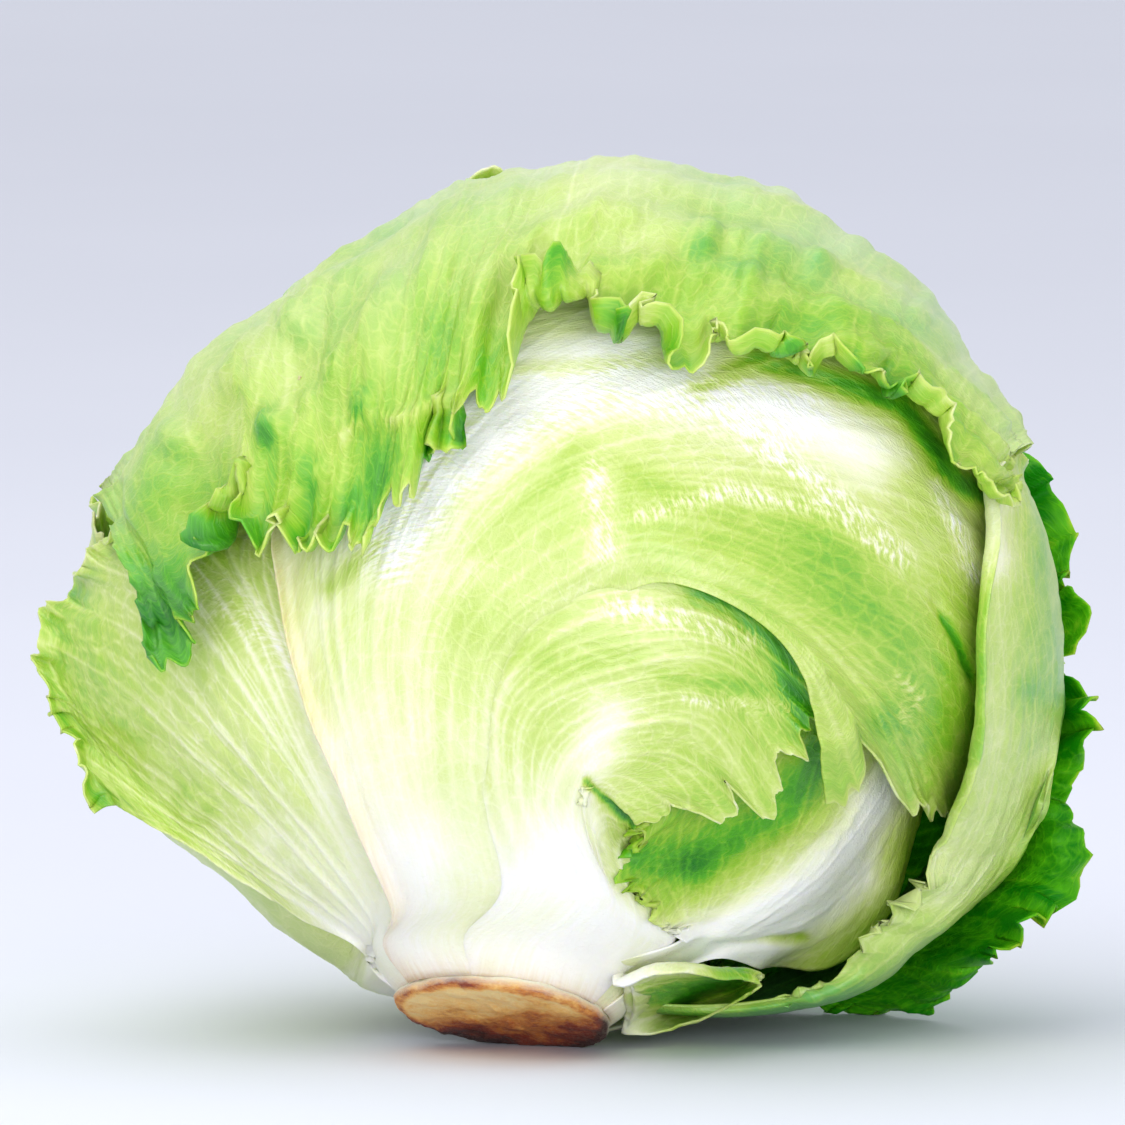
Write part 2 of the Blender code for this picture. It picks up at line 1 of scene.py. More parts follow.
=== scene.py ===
"""The finished look of an iceberg lettuce: fine, veined and frilled leaves over its plain solids.

The head is described as in the part's source, in its own frame, as seen by someone who stands in front of it
and looks slightly down: x to the right, y away, z up in that view, in millimetres. A leaf lies on the head
like a skin, so a guide point is a place in that view and a lift, its height over the head's round body.
"""

import math

import bpy
import numpy as np
from mathutils import Matrix, Vector


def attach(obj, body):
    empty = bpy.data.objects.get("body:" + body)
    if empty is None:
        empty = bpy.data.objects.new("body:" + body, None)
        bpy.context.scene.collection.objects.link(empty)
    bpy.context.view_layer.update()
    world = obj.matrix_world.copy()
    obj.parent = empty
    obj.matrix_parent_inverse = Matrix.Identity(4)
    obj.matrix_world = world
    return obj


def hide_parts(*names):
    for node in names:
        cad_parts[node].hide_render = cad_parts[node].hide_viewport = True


MM = 0.001
HEAD_CENTRE = (-1.4, -5.4, 77.4)
VIEW_TILT = 6.0
HEAD_RADII = (77, 79, 72, 67, 73, 71, 73, 74)  # every 45 degrees, from the right and over the top
HEAD_HALF_DEPTH = 72.0
SWELL_HEIGHT = 0.5
SWELL_COUNT = 6
SWELL_TURNS = (5, 9)
SWELL_SEED = 11
HEART_DEPTH = 10.0
HEART_STEP = 2.2
HEART_STEPS_ROUND = 5
HEART_STEP_TWIST = 1.1
STEM_AXIS = (-0.13, -0.286, -0.949)
SIGHT_START = 75.0  # first guess at the radius where a line of sight meets a layer
SIGHT_ROUNDS = 12

# Leaves: where they leave the stem, as a place along it and a radius
LEAF_ROOT = (75.6, 18.6)
INNER_FLARE = (70.0, 24.5)
RIGHT_FLARE = (70.3, 25.0)
OUTER_FLARE = (72.0, 27.5)
LEFT_FLARE = (71.0, 25.5)
FINE_PLACES = np.linspace(0, 1, 121)  # where a leaf's length and width are measured

# Leaves: their thickness and where it changes, in millimetres or as shares of the leaf
MARGIN_THICKNESS = 0.38
BLADE_THICKNESS = 0.8
RIB_THICKNESS = 1.4
RIB_SPREAD = 0.42
THIN_FROM = 0.75
MARGIN_THINS = 9.0
SIDE_THINS = 6.0

# Leaves: their margins, as shares of a leaf's length or half width and as powers of them
RUFFLE_REACH = 0.09
TOOTH_REACH = 9
NOTCH_REACH = 6
FINE_TOOTH_REACH = 26
SMALL_TEETH = 2.6
SIDE_REACH = 0.2

# Leaves: fine form, in millimetres where it isn't a share or a power
ROW_CROWDING = 1.35  # rows lie closer together towards the margin
TOOTH_SIZES = ((4.6, 0.7), (1.7, 0.3))  # widths and shares of the fine teeth
SIDE_TOOTH_SIZES = ((5.2, 1, 14), (1.9, 0.4, 24))  # widths, shares and powers towards the side
FRILL_WAVES = ((1, 1, 1), (0.47, 0.55, 0.55), (0.2, 0.16, 0.25))  # lengths, heights and reaches, as shares
FRILL_LEAN = 0.55
SWELL_LENGTH = 26
WANDER_LENGTH = 34
WAVE_COUNT = 5
PILLOW_WIDTH = 3.2
CORNER_WIDTH = 9  # frills fade this close to a leaf's corners
SIDE_SHIFT = 60  # makes the frills of a leaf's two sides differ
INNER_GAP = 0.0001  # metres between the two faces where a leaf is pressed flat
CELL_SIZE = 8.5
FRILL_REACH = 8
ROLL_RADIUS = 2.3
FRONT_FADE = 20  # marks placed in the front view fade out over this depth behind the head's middle
OUT_OF_REACH = 300

# Leaves: colour, as lengths in millimetres and as steps of tone, from 0 for white to 1 for dark green
TONE_LENGTH = 30
TONE_UNEVENNESS = 0.05
# painted shade in the hollows of frills and paler frill crests
FRILL_SHADE_TONE = 0.08  # for each millimetre of a frill
# painted shade on the steep sides of blisters
BLISTER_SHADE_TONE = 0.12
PATCH_LENGTH = 22
NET_WIDTH = 0.09  # in cells
PALE_EDGE = 0.8
BLUSH_LENGTH = 2.6
BLUSH_WIDTH = 3

# Studio, in metres where it isn't an angle or a lens
FLOOR_HALF = 9
FLOOR_DROP = 0.00005
LIT_PLACE = (0, 0, 0.08)
LIGHTS = (  # name, place, size, power
    ("key", (-0.55, -0.85, 0.95), 0.7, 3.5),
    ("top", (-0.3, 0.1, 1.1), 1.2, 5),
    ("fill", (0.35, -1.45, 0.05), 0.9, 16),
)
CAMERA_TARGET = (0.44, 0, 6.64)  # in the head's frame, in millimetres
CAMERA_DISTANCE = 4
CAMERA_LENS = 723


# The head's round body, as in the part's source


def wave_weights(count, shares):
    """Weights of a smooth curve through count even points, one row for each share from 0 to 1."""
    place = np.clip(np.asarray(shares, float), 0, 1) * (count - 1)
    first = np.minimum(place.astype(int), count - 2)
    part = place - first
    weights = np.zeros((len(place), count + 2))
    square, cube = part**2, part**3
    rows = np.arange(len(place))
    weights[rows, first] = (-cube + 2 * square - part) / 2
    weights[rows, first + 1] = (3 * cube - 5 * square + 2) / 2
    weights[rows, first + 2] = (-3 * cube + 4 * square + part) / 2
    weights[rows, first + 3] = (cube - square) / 2
    inner = weights[:, 1:-1].copy()
    inner[:, 0] += 2 * weights[:, 0]
    inner[:, 1] -= weights[:, 0]
    inner[:, -1] += 2 * weights[:, -1]
    inner[:, -2] -= weights[:, -1]
    return inner


def swells(directions):
    """Gentle unevenness of the head, the same for every layer, so that the layers nest."""
    rng = np.random.default_rng(SWELL_SEED)
    height = 0
    for _ in range(SWELL_COUNT):
        run = rng.normal(size=3)
        run *= rng.uniform(*SWELL_TURNS) / np.linalg.norm(run)
        height = height + np.sin(directions @ run + rng.uniform(0, 2 * math.pi))
    return SWELL_HEIGHT * height


def head_radius(directions):
    """Distance from the head's centre to its round body along each unit direction."""
    radii = np.array(HEAD_RADII + HEAD_RADII[:1], float)
    turn = np.arctan2(directions[:, 2], directions[:, 0]) / (2 * math.pi) % 1
    padded = np.concatenate([radii[-4:-1], radii, radii[1:4]])
    places = (turn * 8 + 3) / (len(padded) - 1)
    outline = wave_weights(len(padded), places) @ padded
    across = np.hypot(directions[:, 0], directions[:, 2])
    plain = 1 / np.sqrt((across / outline) ** 2 + (directions[:, 1] / HEAD_HALF_DEPTH) ** 2)
    return plain + swells(directions)


def unit(vectors):
    """The same vectors, each with length 1."""
    return vectors / np.maximum(np.linalg.norm(vectors, axis=-1, keepdims=True), 1e-9)


def seen_at(x, z, lift, side):
    """Direction and lift of the point at this height over the head that the front view shows at x, z."""
    reach = math.hypot(x, z)
    radius = max(SIGHT_START, reach)
    for _ in range(SIGHT_ROUNDS):
        depth = side * math.sqrt(max(radius**2 - reach**2, 0))
        direction = unit(np.array([[x, depth, z]], float))
        radius = max(head_radius(direction)[0] + lift, reach)
    return np.append(direction[0], radius - head_radius(direction)[0])


def shown(*places):
    """Guide points on the side of the head that faces the viewer, from places in the view and lifts."""
    return [seen_at(*place, -1) for place in places]


def hidden(*places):
    """Guide points on the side of the head that faces away."""
    return [seen_at(*place, 1) for place in places]


def over(*places):
    """Guide points of a leaf that comes over the head from behind: three hidden ones, then those shown."""
    return hidden(*places[:3]) + shown(*places[3:])


def stem_frame():
    """The stem's axis, and the directions across it that point to the viewer and to the right."""
    axis = unit(np.array(STEM_AXIS))
    front = unit(np.array([0, -1, 0]) + axis[1] * axis)
    return axis, front, np.cross(front, axis)


def at_stem(angle, along, radius):
    """Direction and lift of a point beside the stem. Angle 0 faces the viewer, 90 is to the right."""
    axis, front, right = stem_frame()
    turn = math.radians(angle)
    place = axis * along + (front * math.cos(turn) + right * math.sin(turn)) * radius
    distance = np.linalg.norm(place)
    direction = place / distance
    return np.append(direction, distance - head_radius(direction[None])[0])


def to_world(points):
    """Points of the head's frame, in millimetres from its centre, as metres in the world."""
    turn = Matrix.Rotation(-math.radians(VIEW_TILT), 3, "X")
    return (points @ np.array(turn).T + HEAD_CENTRE) * MM


# The leaves' skins, as in the part's source


def guided_points(leaf, across, places, raised=0):
    """Points on a leaf's smooth skin, in millimetres, at shares across it and places along its guides."""
    guides = np.array(leaf["guides"])
    rows = wave_weights(guides.shape[1], places)
    columns = wave_weights(guides.shape[0], (across + 1) / 2)
    values = np.einsum("pm,pn,mnk->pk", columns, rows, guides, optimize=True)
    directions = unit(values[:, :3])
    radius = head_radius(directions) + values[:, 3] + raised
    return directions * radius[:, None]


def skin_points(leaf, across, along, raised=0):
    """The same points at shares -1 to 1 across the leaf and 0 to 1 of its length."""
    return guided_points(leaf, across, np.interp(along, leaf["run"], FINE_PLACES), raised)


def run_lengths(points):
    """Distance run along a line of points, from 0 at the first."""
    return np.append(0, np.cumsum(np.linalg.norm(np.diff(points, axis=0), axis=1)))


def measure(leaf):
    """Notes a leaf's mean length, and the share of it that is run at places along its guides."""
    runs = [
        run_lengths(guided_points(leaf, np.full(FINE_PLACES.size, across), FINE_PLACES))
        for across in np.linspace(-1, 1, 9)
    ]
    run = np.mean(runs, axis=0)
    leaf["length"] = run[-1]
    leaf["run"] = run / run[-1]


def row_run(leaf, share):
    """Distances run across a leaf's row, at even shares of its width."""
    across = 2 * FINE_PLACES - 1
    return across, run_lengths(skin_points(leaf, across, np.full(across.size, share)))


def ruffle(leaf, place, along):
    """Outward waves that grow towards the margin, in millimetres."""
    rng = np.random.default_rng(leaf["seed"])
    phase, sway = rng.uniform(0, 2 * math.pi, 2)
    turn = 2 * math.pi * place / leaf["wave_length"]
    wave = np.sin(turn + phase + 1.4 * np.sin(turn * 0.37 + sway))
    return leaf["wave_height"] * (0.5 + 0.5 * wave) * np.exp((along - 1) / RUFFLE_REACH)


def teeth(leaf, place, along):
    """How far the margin is cut back, as a share of the leaf's length."""
    rng = np.random.default_rng(leaf["seed"])
    phase = rng.uniform(0, 1, 2)
    coarse, fine = (
        (np.abs((place / leaf["tooth_width"] * size + shift) % 1 - 0.5) * 2) ** leaf["tooth_power"]
        for size, shift in zip((1, SMALL_TEETH), phase)
    )
    return leaf["tooth_depth"] * (0.65 * coarse + 0.35 * fine) * along**TOOTH_REACH


def notched(leaf, across, along):
    """The deep cuts of a margin: each is a place across the leaf, a depth and a half width."""
    cut = np.zeros_like(across)
    for place, depth, half_width in leaf["notches"]:
        cut += depth * np.clip(1 - np.abs(across - place) / half_width, 0, 1) * along**NOTCH_REACH
    return cut


def side_frill(leaf, across, along):
    """Waves along the two sides of a leaf."""
    edge = np.maximum(np.abs(across) - 1 + SIDE_REACH, 0) / SIDE_REACH
    return leaf["side_height"] * edge * along * (0.5 + 0.5 * np.sin(along * leaf["side_waves"]))


# Fine form: grids, veins, quilting, frills and rolled edges


def side_bite(leaf, across, along, side):
    """How far one side of a leaf is bitten by uneven teeth, from 0 to about 1."""
    edge = np.maximum(side * across, 0)
    return sum(
        share * jagged(along * leaf["length"], width, leaf["seed"] + 310 + index) * edge**power
        for index, (width, share, power) in enumerate(SIDE_TOOTH_SIZES)
    )


def smoothly(low, high, values):
    """0 below low, 1 above high and a soft step between."""
    part = np.clip((values - low) / (high - low), 0, 1)
    return part * part * (3 - 2 * part)


def between(first, last, values):
    """1 from first to last, with soft ends."""
    return smoothly(first, first + 0.1, values) * (1 - smoothly(last - 0.1, last, values))


def softened(grid, rounds):
    """A grid of points or values with its small bumps averaged away."""
    for _ in range(rounds):
        wide = np.pad(grid, [(1, 1), (1, 1)] + [(0, 0)] * (grid.ndim - 2), mode="edge")
        grid = (wide[:-2, 1:-1] + wide[2:, 1:-1] + wide[1:-1, :-2] + wide[1:-1, 2:] + 2 * grid) / 6
    return grid


def grid_directions(points):
    """Unit directions across a grid, along it and out of it, away from the head's centre."""
    across = unit(np.gradient(points, axis=1))
    along = unit(np.gradient(points, axis=0))
    out = unit(np.cross(across, along))
    if np.sum(out * points) < 0:
        out = -out
    return across, along, out


def scatter(cells, seed):
    """Two even random numbers for each whole-numbered cell, always the same."""
    mixed = cells[..., 0] * 127.1 + cells[..., 1] * 311.7 + seed * 74.7
    return np.stack([np.sin(mixed) * 43758.5453 % 1, np.sin(mixed + 2.4) * 28001.8384 % 1], axis=-1)


def cell_walls(places, size, seed):
    """How far each place is from the wall between scattered cells of this size, in cells."""
    scaled = places / size
    home = np.floor(scaled)
    near = np.full(places.shape[:-1], 9.0)
    next_near = near.copy()
    for step_across in (-1, 0, 1):
        for step_along in (-1, 0, 1):
            cell = home + (step_across, step_along)
            distance = np.linalg.norm(cell + scatter(cell, seed) - scaled, axis=-1)
            next_near = np.minimum(next_near, np.maximum(near, distance))
            near = np.minimum(near, distance)
    return next_near - near


def waves(places, length, seed):
    """Smooth unevenness between about -1 and 1, with swells of this length."""
    rng = np.random.default_rng(seed)
    height = 0
    for _ in range(WAVE_COUNT):
        turn, phase = rng.uniform(0, 2 * math.pi, 2)
        run = 2 * math.pi / length * rng.uniform(0.6, 1.5)
        across, along = places[..., 0] * run, places[..., 1] * run
        height = height + np.sin(across * math.cos(turn) + along * math.sin(turn) + phase)
    return height / math.sqrt(WAVE_COUNT * 1.5)


def vein_paths(leaf, along):
    """Veins as shares across the leaf at each row, the share along it where they start, and a size."""
    rng = np.random.default_rng(leaf["seed"] + 100)
    count = leaf["veins"]
    paths = []
    for place in np.linspace(-0.97, 0.97, count) + rng.uniform(-0.35, 0.35, count) / count:
        wobble = 0.25 / count * np.sin(along * rng.uniform(4, 9) + rng.uniform(0, 6))
        size = rng.uniform(0.35, 1)
        trunk = place + wobble * along
        paths.append((trunk, 0, size))
        side = rng.choice((-1, 1))
        for start in np.sort(rng.uniform(0.12, 0.92, leaf["branches"])):
            side = -side
            spread = rng.uniform(1.2, 2.6) / count
            run = np.maximum(along - start, 0)
            branch = trunk + side * spread * run / (1 - start + 0.25) * (1 + 0.6 * run)
            paths.append((branch, start, size * rng.uniform(0.35, 0.6)))
    return paths


def vein_relief(leaf, columns, along, run):
    """Nearness to a vein from 0 to 1, its height in millimetres, and the distance to the nearest vein."""
    length = along * leaf["length"]
    near = np.zeros(run.shape)
    relief = near.copy()
    nearest = np.full(run.shape, 9.0)
    for path, start, size in vein_paths(leaf, along):
        centre = np.array([np.interp(place, columns, row) for place, row in zip(path, run)])
        slope = np.clip(np.gradient(centre, length), -2, 2)
        distance = np.abs(run - centre[:, None]) / np.sqrt(1 + slope[:, None] ** 2)
        alive = (smoothly(start - 0.01, start + 0.03, along) * (np.abs(path) < 1))[:, None]
        width = size * (leaf["vein_width"] * (1 - along) ** 0.8 + 0.3)[:, None]
        mask = np.exp(-((distance / width) ** 2)) * alive
        near = np.maximum(near, mask * (0.55 + 0.45 * size))
        standing = (0.35 + 0.65 * (1 - along)) * smoothly(0.05, 0.3, along)
        relief = np.maximum(relief, mask * size * standing[:, None])
        nearest = np.minimum(nearest, distance + 9 * (1 - alive))
    return near * smoothly(0.1, 0.35, along)[:, None], relief * leaf["vein_height"], nearest


def frill(leaf, place, from_margin, lively):
    """Outward and sideways shift of the frilled margin: two sizes of waves that come and go."""
    rng = np.random.default_rng(leaf["seed"] + 200)
    out = side = 0
    for length, height, reach in FRILL_WAVES:
        phase, sway, come = rng.uniform(0, 2 * math.pi, 3)
        turn = 2 * math.pi * place / (leaf["frill_length"] * length)
        wave = turn + phase + 1.9 * np.sin(turn * 0.31 + sway) + 1.3 * np.sin(turn * 0.173 + 2 * sway)
        size = height * leaf["frill_height"] * (0.55 + 0.45 * np.sin(turn * 0.237 + come) + lively)
        size = size * np.exp(-((from_margin / (FRILL_REACH * reach)) ** 1.4))
        out = out + size * np.sin(wave)
        side = side + FRILL_LEAN * size * np.sin(2 * wave + 0.6)
    return out, side


def jagged(place, width, seed, power=1):
    """Uneven teeth along an edge, between 0 and 1 deep and about this wide, rounder with a higher power."""
    phase = np.random.default_rng(seed).uniform(0, 2 * math.pi, 4)
    turn = place / width
    warped = turn + 0.4 * np.sin(1.9 * turn + phase[0]) + 0.9 * np.sin(0.43 * turn + phase[1])
    depth = 0.62 + 0.38 * np.sin(2.7 * turn + phase[2] + 2 * np.sin(0.7 * turn + phase[3]))
    return depth * (np.abs(warped % 1 - 0.5) * 2) ** power


def fine_teeth(leaf, place, along):
    """Small uneven teeth of the margin, as a share of the leaf's length."""
    depth = sum(
        share * jagged(place, width, leaf["seed"] + 300 + index, leaf["tooth_power"])
        for index, (width, share) in enumerate(TOOTH_SIZES)
    )
    return leaf["fine_teeth"] / leaf["length"] * depth * along**FINE_TOOTH_REACH


def rolled(from_edge, angle, reach, radius):
    """Outward and backward shift where an edge rolls up, and how far it has turned there."""
    turned = np.maximum(reach - from_edge, 0)
    angle = np.maximum(angle, 0.01)
    radius = np.maximum(radius, 0.6 * reach / angle)
    bent = np.minimum(turned, radius * angle)
    turn = bent / radius
    straight = turned - bent
    ahead = radius * np.sin(turn) + straight * np.cos(turn)
    return radius * (1 - np.cos(turn)) + straight * np.sin(turn), turned - ahead, turn


def near_margin(leaf, columns, place, margin):
    """How lively each column's margin is, and the extra turn and reach of its roll."""
    lively = np.zeros(columns.size)
    angle = np.zeros(columns.size)
    reach = np.zeros(columns.size)
    for x, z, half_width, turn, life, further in leaf["stretches"]:
        distance = np.hypot(margin[:, 0] - x, margin[:, 2] - z) + OUT_OF_REACH * (margin[:, 1] > FRONT_FADE)
        centre = place[np.argmin(distance)]
        weight = np.exp(-(((place - centre) / half_width) ** 4))
        lively = np.maximum(lively, weight * life)
        angle = angle + weight * turn
        reach = reach + weight * further
    return lively, angle, reach


def spots(leaf, points, name, power=2):
    """Sum of soft round spots of a leaf, given as x, z, radius and size in the front view."""
    total = np.zeros(points.shape[:2])
    for x, z, radius, size in leaf[name]:
        distance = np.hypot(points[..., 0] - x, points[..., 2] - z) / radius
        total += size * np.exp(-(distance**power)) * (1 - smoothly(0, FRONT_FADE, points[..., 1]))
    return total


def steepness(height):
    """How steep a grid of heights is, from 0 to 1 at its steepest."""
    steep = np.hypot(np.gradient(height, axis=0), np.gradient(height, axis=1))
    return steep / max(steep.max(), 1e-6)


def bands(leaf, points, name):
    """Sum of soft bands of a leaf, each a size, a half width and a line of x, z places in the front view."""
    total = np.zeros(points.shape[:2])
    for size, half_width, line in leaf[name]:
        nearest = np.full(total.shape, 1e3)
        for (x, z), (next_x, next_z) in zip(line[:-1], line[1:]):
            run = np.array([next_x - x, next_z - z])
            share = ((points[..., 0] - x) * run[0] + (points[..., 2] - z) * run[1]) / (run @ run)
            share = np.clip(share, 0, 1)
            away = np.hypot(points[..., 0] - x - share * run[0], points[..., 2] - z - share * run[1])
            nearest = np.minimum(nearest, away)
        total += size * np.exp(-((nearest / half_width) ** 2)) * (1 - smoothly(0, FRONT_FADE, points[..., 1]))
    return total


def leaf_form(leaf):
    """A leaf's outer face as a grid of points, its thickness, its surface values and its unrolled places."""
    across_fine, margin_run = row_run(leaf, 1)
    columns = np.interp(np.linspace(0, margin_run[-1], leaf["columns"]), margin_run, across_fine)
    place = np.interp(columns, across_fine, margin_run - margin_run[-1] / 2)
    rows = 1 - (1 - np.linspace(0, 1, leaf["rows"])) ** ROW_CROWDING
    across, along = np.meshgrid(columns, rows)
    places = np.broadcast_to(place, across.shape)
    shape = across.shape

    for side, (depth, first, last) in leaf["side_teeth"].items():
        across = across * (1 - depth * side_bite(leaf, across, along, side) * between(first, last, along))
    cut = teeth(leaf, places, along) + notched(leaf, across, along) + fine_teeth(leaf, places, along)
    raised = ruffle(leaf, places, along) + side_frill(leaf, across, along)
    raised = raised - leaf["sink"] * smoothly(0.6, 1, across) * (1 - smoothly(0.5, 0.64, along))
    base = skin_points(leaf, across.ravel(), (along - cut).ravel(), raised.ravel()).reshape(*shape, 3)

    steps = np.linalg.norm(np.diff(base, axis=1), axis=2)
    run = np.pad(np.cumsum(steps, axis=1), ((0, 0), (1, 0)))
    flat = np.stack([run - run[:, -1:] / 2, along * leaf["length"]], axis=-1)
    from_sides = {-1: run, 1: run[:, -1:] - run}
    from_nearest = np.minimum(*from_sides.values())
    to_across, to_along, out = grid_directions(softened(base, 3))

    near, relief, nearest = vein_relief(leaf, columns, rows, run)
    walls = cell_walls(flat + 1.5 * waves(flat, 9, leaf["seed"])[..., None], CELL_SIZE, leaf["seed"])
    young = smoothly(0.1, 0.45, along)
    quilt = smoothly(0, 0.5, walls) * young
    pillow = smoothly(0, PILLOW_WIDTH, nearest) * young
    from_margin = (1 - along) * leaf["length"]
    inside = smoothly(0, 4, from_margin)

    height = relief + leaf["quilt"] * (0.45 * quilt + 0.55 * pillow) * inside
    swelling = leaf["swell"] * waves(flat, SWELL_LENGTH, leaf["seed"] + 5)
    height = height + swelling * young * smoothly(0, 15, from_margin)
    blisters = spots(leaf, base, "blisters", 4)
    height = (height + blisters * inside) * smoothly(0.12, 0.35, np.gradient(run, axis=1))
    height = height + bands(leaf, base, "creases")
    height = height * (1 - np.clip(spots(leaf, base, "calm"), 0, 1))

    lively, extra, further = near_margin(leaf, columns, place, base[-1])
    frilled, leant = frill(leaf, places, from_margin, lively)
    calmer = smoothly(0, CORNER_WIDTH, from_nearest)
    frilled, leant = frilled * calmer, leant * calmer
    wander = 0.5 + 0.5 * waves(np.stack([place, place * 0], axis=-1), WANDER_LENGTH, leaf["seed"] + 7)
    lifted, drawn, turn = rolled(
        from_margin, leaf["roll"] * wander + extra, leaf["roll_reach"] + further, ROLL_RADIUS
    )
    points = base + out * (height + frilled * np.cos(turn) + lifted)[..., None]
    points = points + to_across * leant[..., None] - to_along * (drawn + frilled * np.sin(turn))[..., None]

    for side, (angle, side_reach, first, last) in leaf["side_rolls"].items():
        angle = angle * between(first, last, along)
        lifted, drawn, _ = rolled(from_sides[side], angle, side_reach, ROLL_RADIUS)
        points = points + out * lifted[..., None] - side * to_across * drawn[..., None]
    for side, (size, first, last) in leaf["side_frills"].items():
        waved, leant = frill(leaf, flat[..., 1] + SIDE_SHIFT * side, from_sides[side], 0)
        some = (size * between(first, last, along) * smoothly(0, CORNER_WIDTH, from_margin))[..., None]
        points = points + some * (out * waved[..., None] + to_along * leant[..., None])

    rib = np.exp(-(((across - leaf["rib_at"]) / RIB_SPREAD) ** 2))
    thick = BLADE_THICKNESS + RIB_THICKNESS * np.clip(1 - along / THIN_FROM, 0, 1) * (0.6 + 0.4 * rib)
    side_room = np.clip(from_nearest / SIDE_THINS, 0, 1)
    edge = np.minimum(np.clip(from_margin / MARGIN_THINS, 0, 1), side_room)
    thick = MARGIN_THICKNESS + (thick - MARGIN_THICKNESS) * np.sqrt(edge)

    heights, tones = zip(*leaf["tones"])
    tone = np.interp(along, heights, tones) + leaf["side_tone"] * across
    # spots and bands of tone: painted shade under margins and in creases and hollows, painted highlight in
    # pale patches and streaks, and the leaf's own tone
    tone = tone + spots(leaf, base, "shade_and_tone_spots") + bands(leaf, base, "bands")
    tone = tone + TONE_UNEVENNESS * waves(flat, TONE_LENGTH, leaf["seed"] + 9)
    # painted shade: darker in frill hollows and on the steep sides of blisters, paler on frill crests
    tone = tone - FRILL_SHADE_TONE * np.clip(frilled, -2.5, 1) + BLISTER_SHADE_TONE * steepness(blisters)
    patchy = 0.75 + 0.25 * waves(flat, PATCH_LENGTH, leaf["seed"] + 11)
    netting = np.exp(-((walls / NET_WIDTH) ** 2)) * young * 0.5
    values = dict(
        tone=tone,
        vein=np.maximum(near, netting),
        edge=np.exp(-from_margin / PALE_EDGE),
        blush=np.exp(-along * leaf["length"] / BLUSH_LENGTH) + leaf["blush"] * np.exp(-run / BLUSH_WIDTH),
        gleam=np.clip(bands(leaf, base, "gleams"), 0, 1),
        # painted sheen: a patchy pale grey-green laid over the blade, fading towards the margin
        painted_sheen=leaf["painted_sheen"] * (1 - smoothly(0.7, 0.97, along)) * patchy,
    )
    return points, thick, values, flat


# Meshes


def grid_faces(rows, columns, first, flip):
    """Four-sided faces between neighbouring points of a grid."""
    index = first + np.arange(rows * columns).reshape(rows, columns)
    faces = np.stack([index[:-1, :-1], index[:-1, 1:], index[1:, 1:], index[1:, :-1]], axis=-1).reshape(-1, 4)
    return faces[:, ::-1] if flip else faces


def rim_faces(rows, columns):
    """Faces that join the edges of two grids of the same size."""
    index = np.arange(rows * columns).reshape(rows, columns)
    loop = np.concatenate([index[0, :-1], index[:-1, -1], index[-1, :0:-1], index[:0:-1, 0]])
    ahead = np.roll(loop, -1)
    back = rows * columns
    return np.stack([ahead, loop, loop + back, ahead + back], axis=-1)


def tube_faces(down, around):
    """Faces of a grid of rings, each joined to itself."""
    index = np.arange(down * around).reshape(down, around)
    ahead = np.roll(index, -1, axis=1)
    return np.stack([index[:-1], index[1:], ahead[1:], ahead[:-1]], axis=-1).reshape(-1, 4)


def solid_mesh(name, points, faces, values, flat):
    """A mesh with its surface values and its unrolled places as attributes."""
    mesh = bpy.data.meshes.new(name)
    mesh.from_pydata(points.tolist(), [], faces.tolist())
    for label, value in values.items():
        attribute = mesh.attributes.new(label, "FLOAT", "POINT")
        attribute.data.foreach_set("value", np.asarray(value, float).ravel())
    attribute = mesh.attributes.new("flat", "FLOAT_VECTOR", "POINT")
    attribute.data.foreach_set("vector", np.asarray(flat, float).ravel())
    mesh.shade_smooth()
    piece = bpy.data.objects.new(name, mesh)
    bpy.context.scene.collection.objects.link(piece)
    return piece


def finish_piece(piece, node, material):
    """Gives a piece its material, and puts it in the place of its CAD node."""
    piece.data.materials.append(material)
    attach(piece, "root")
    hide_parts(node)


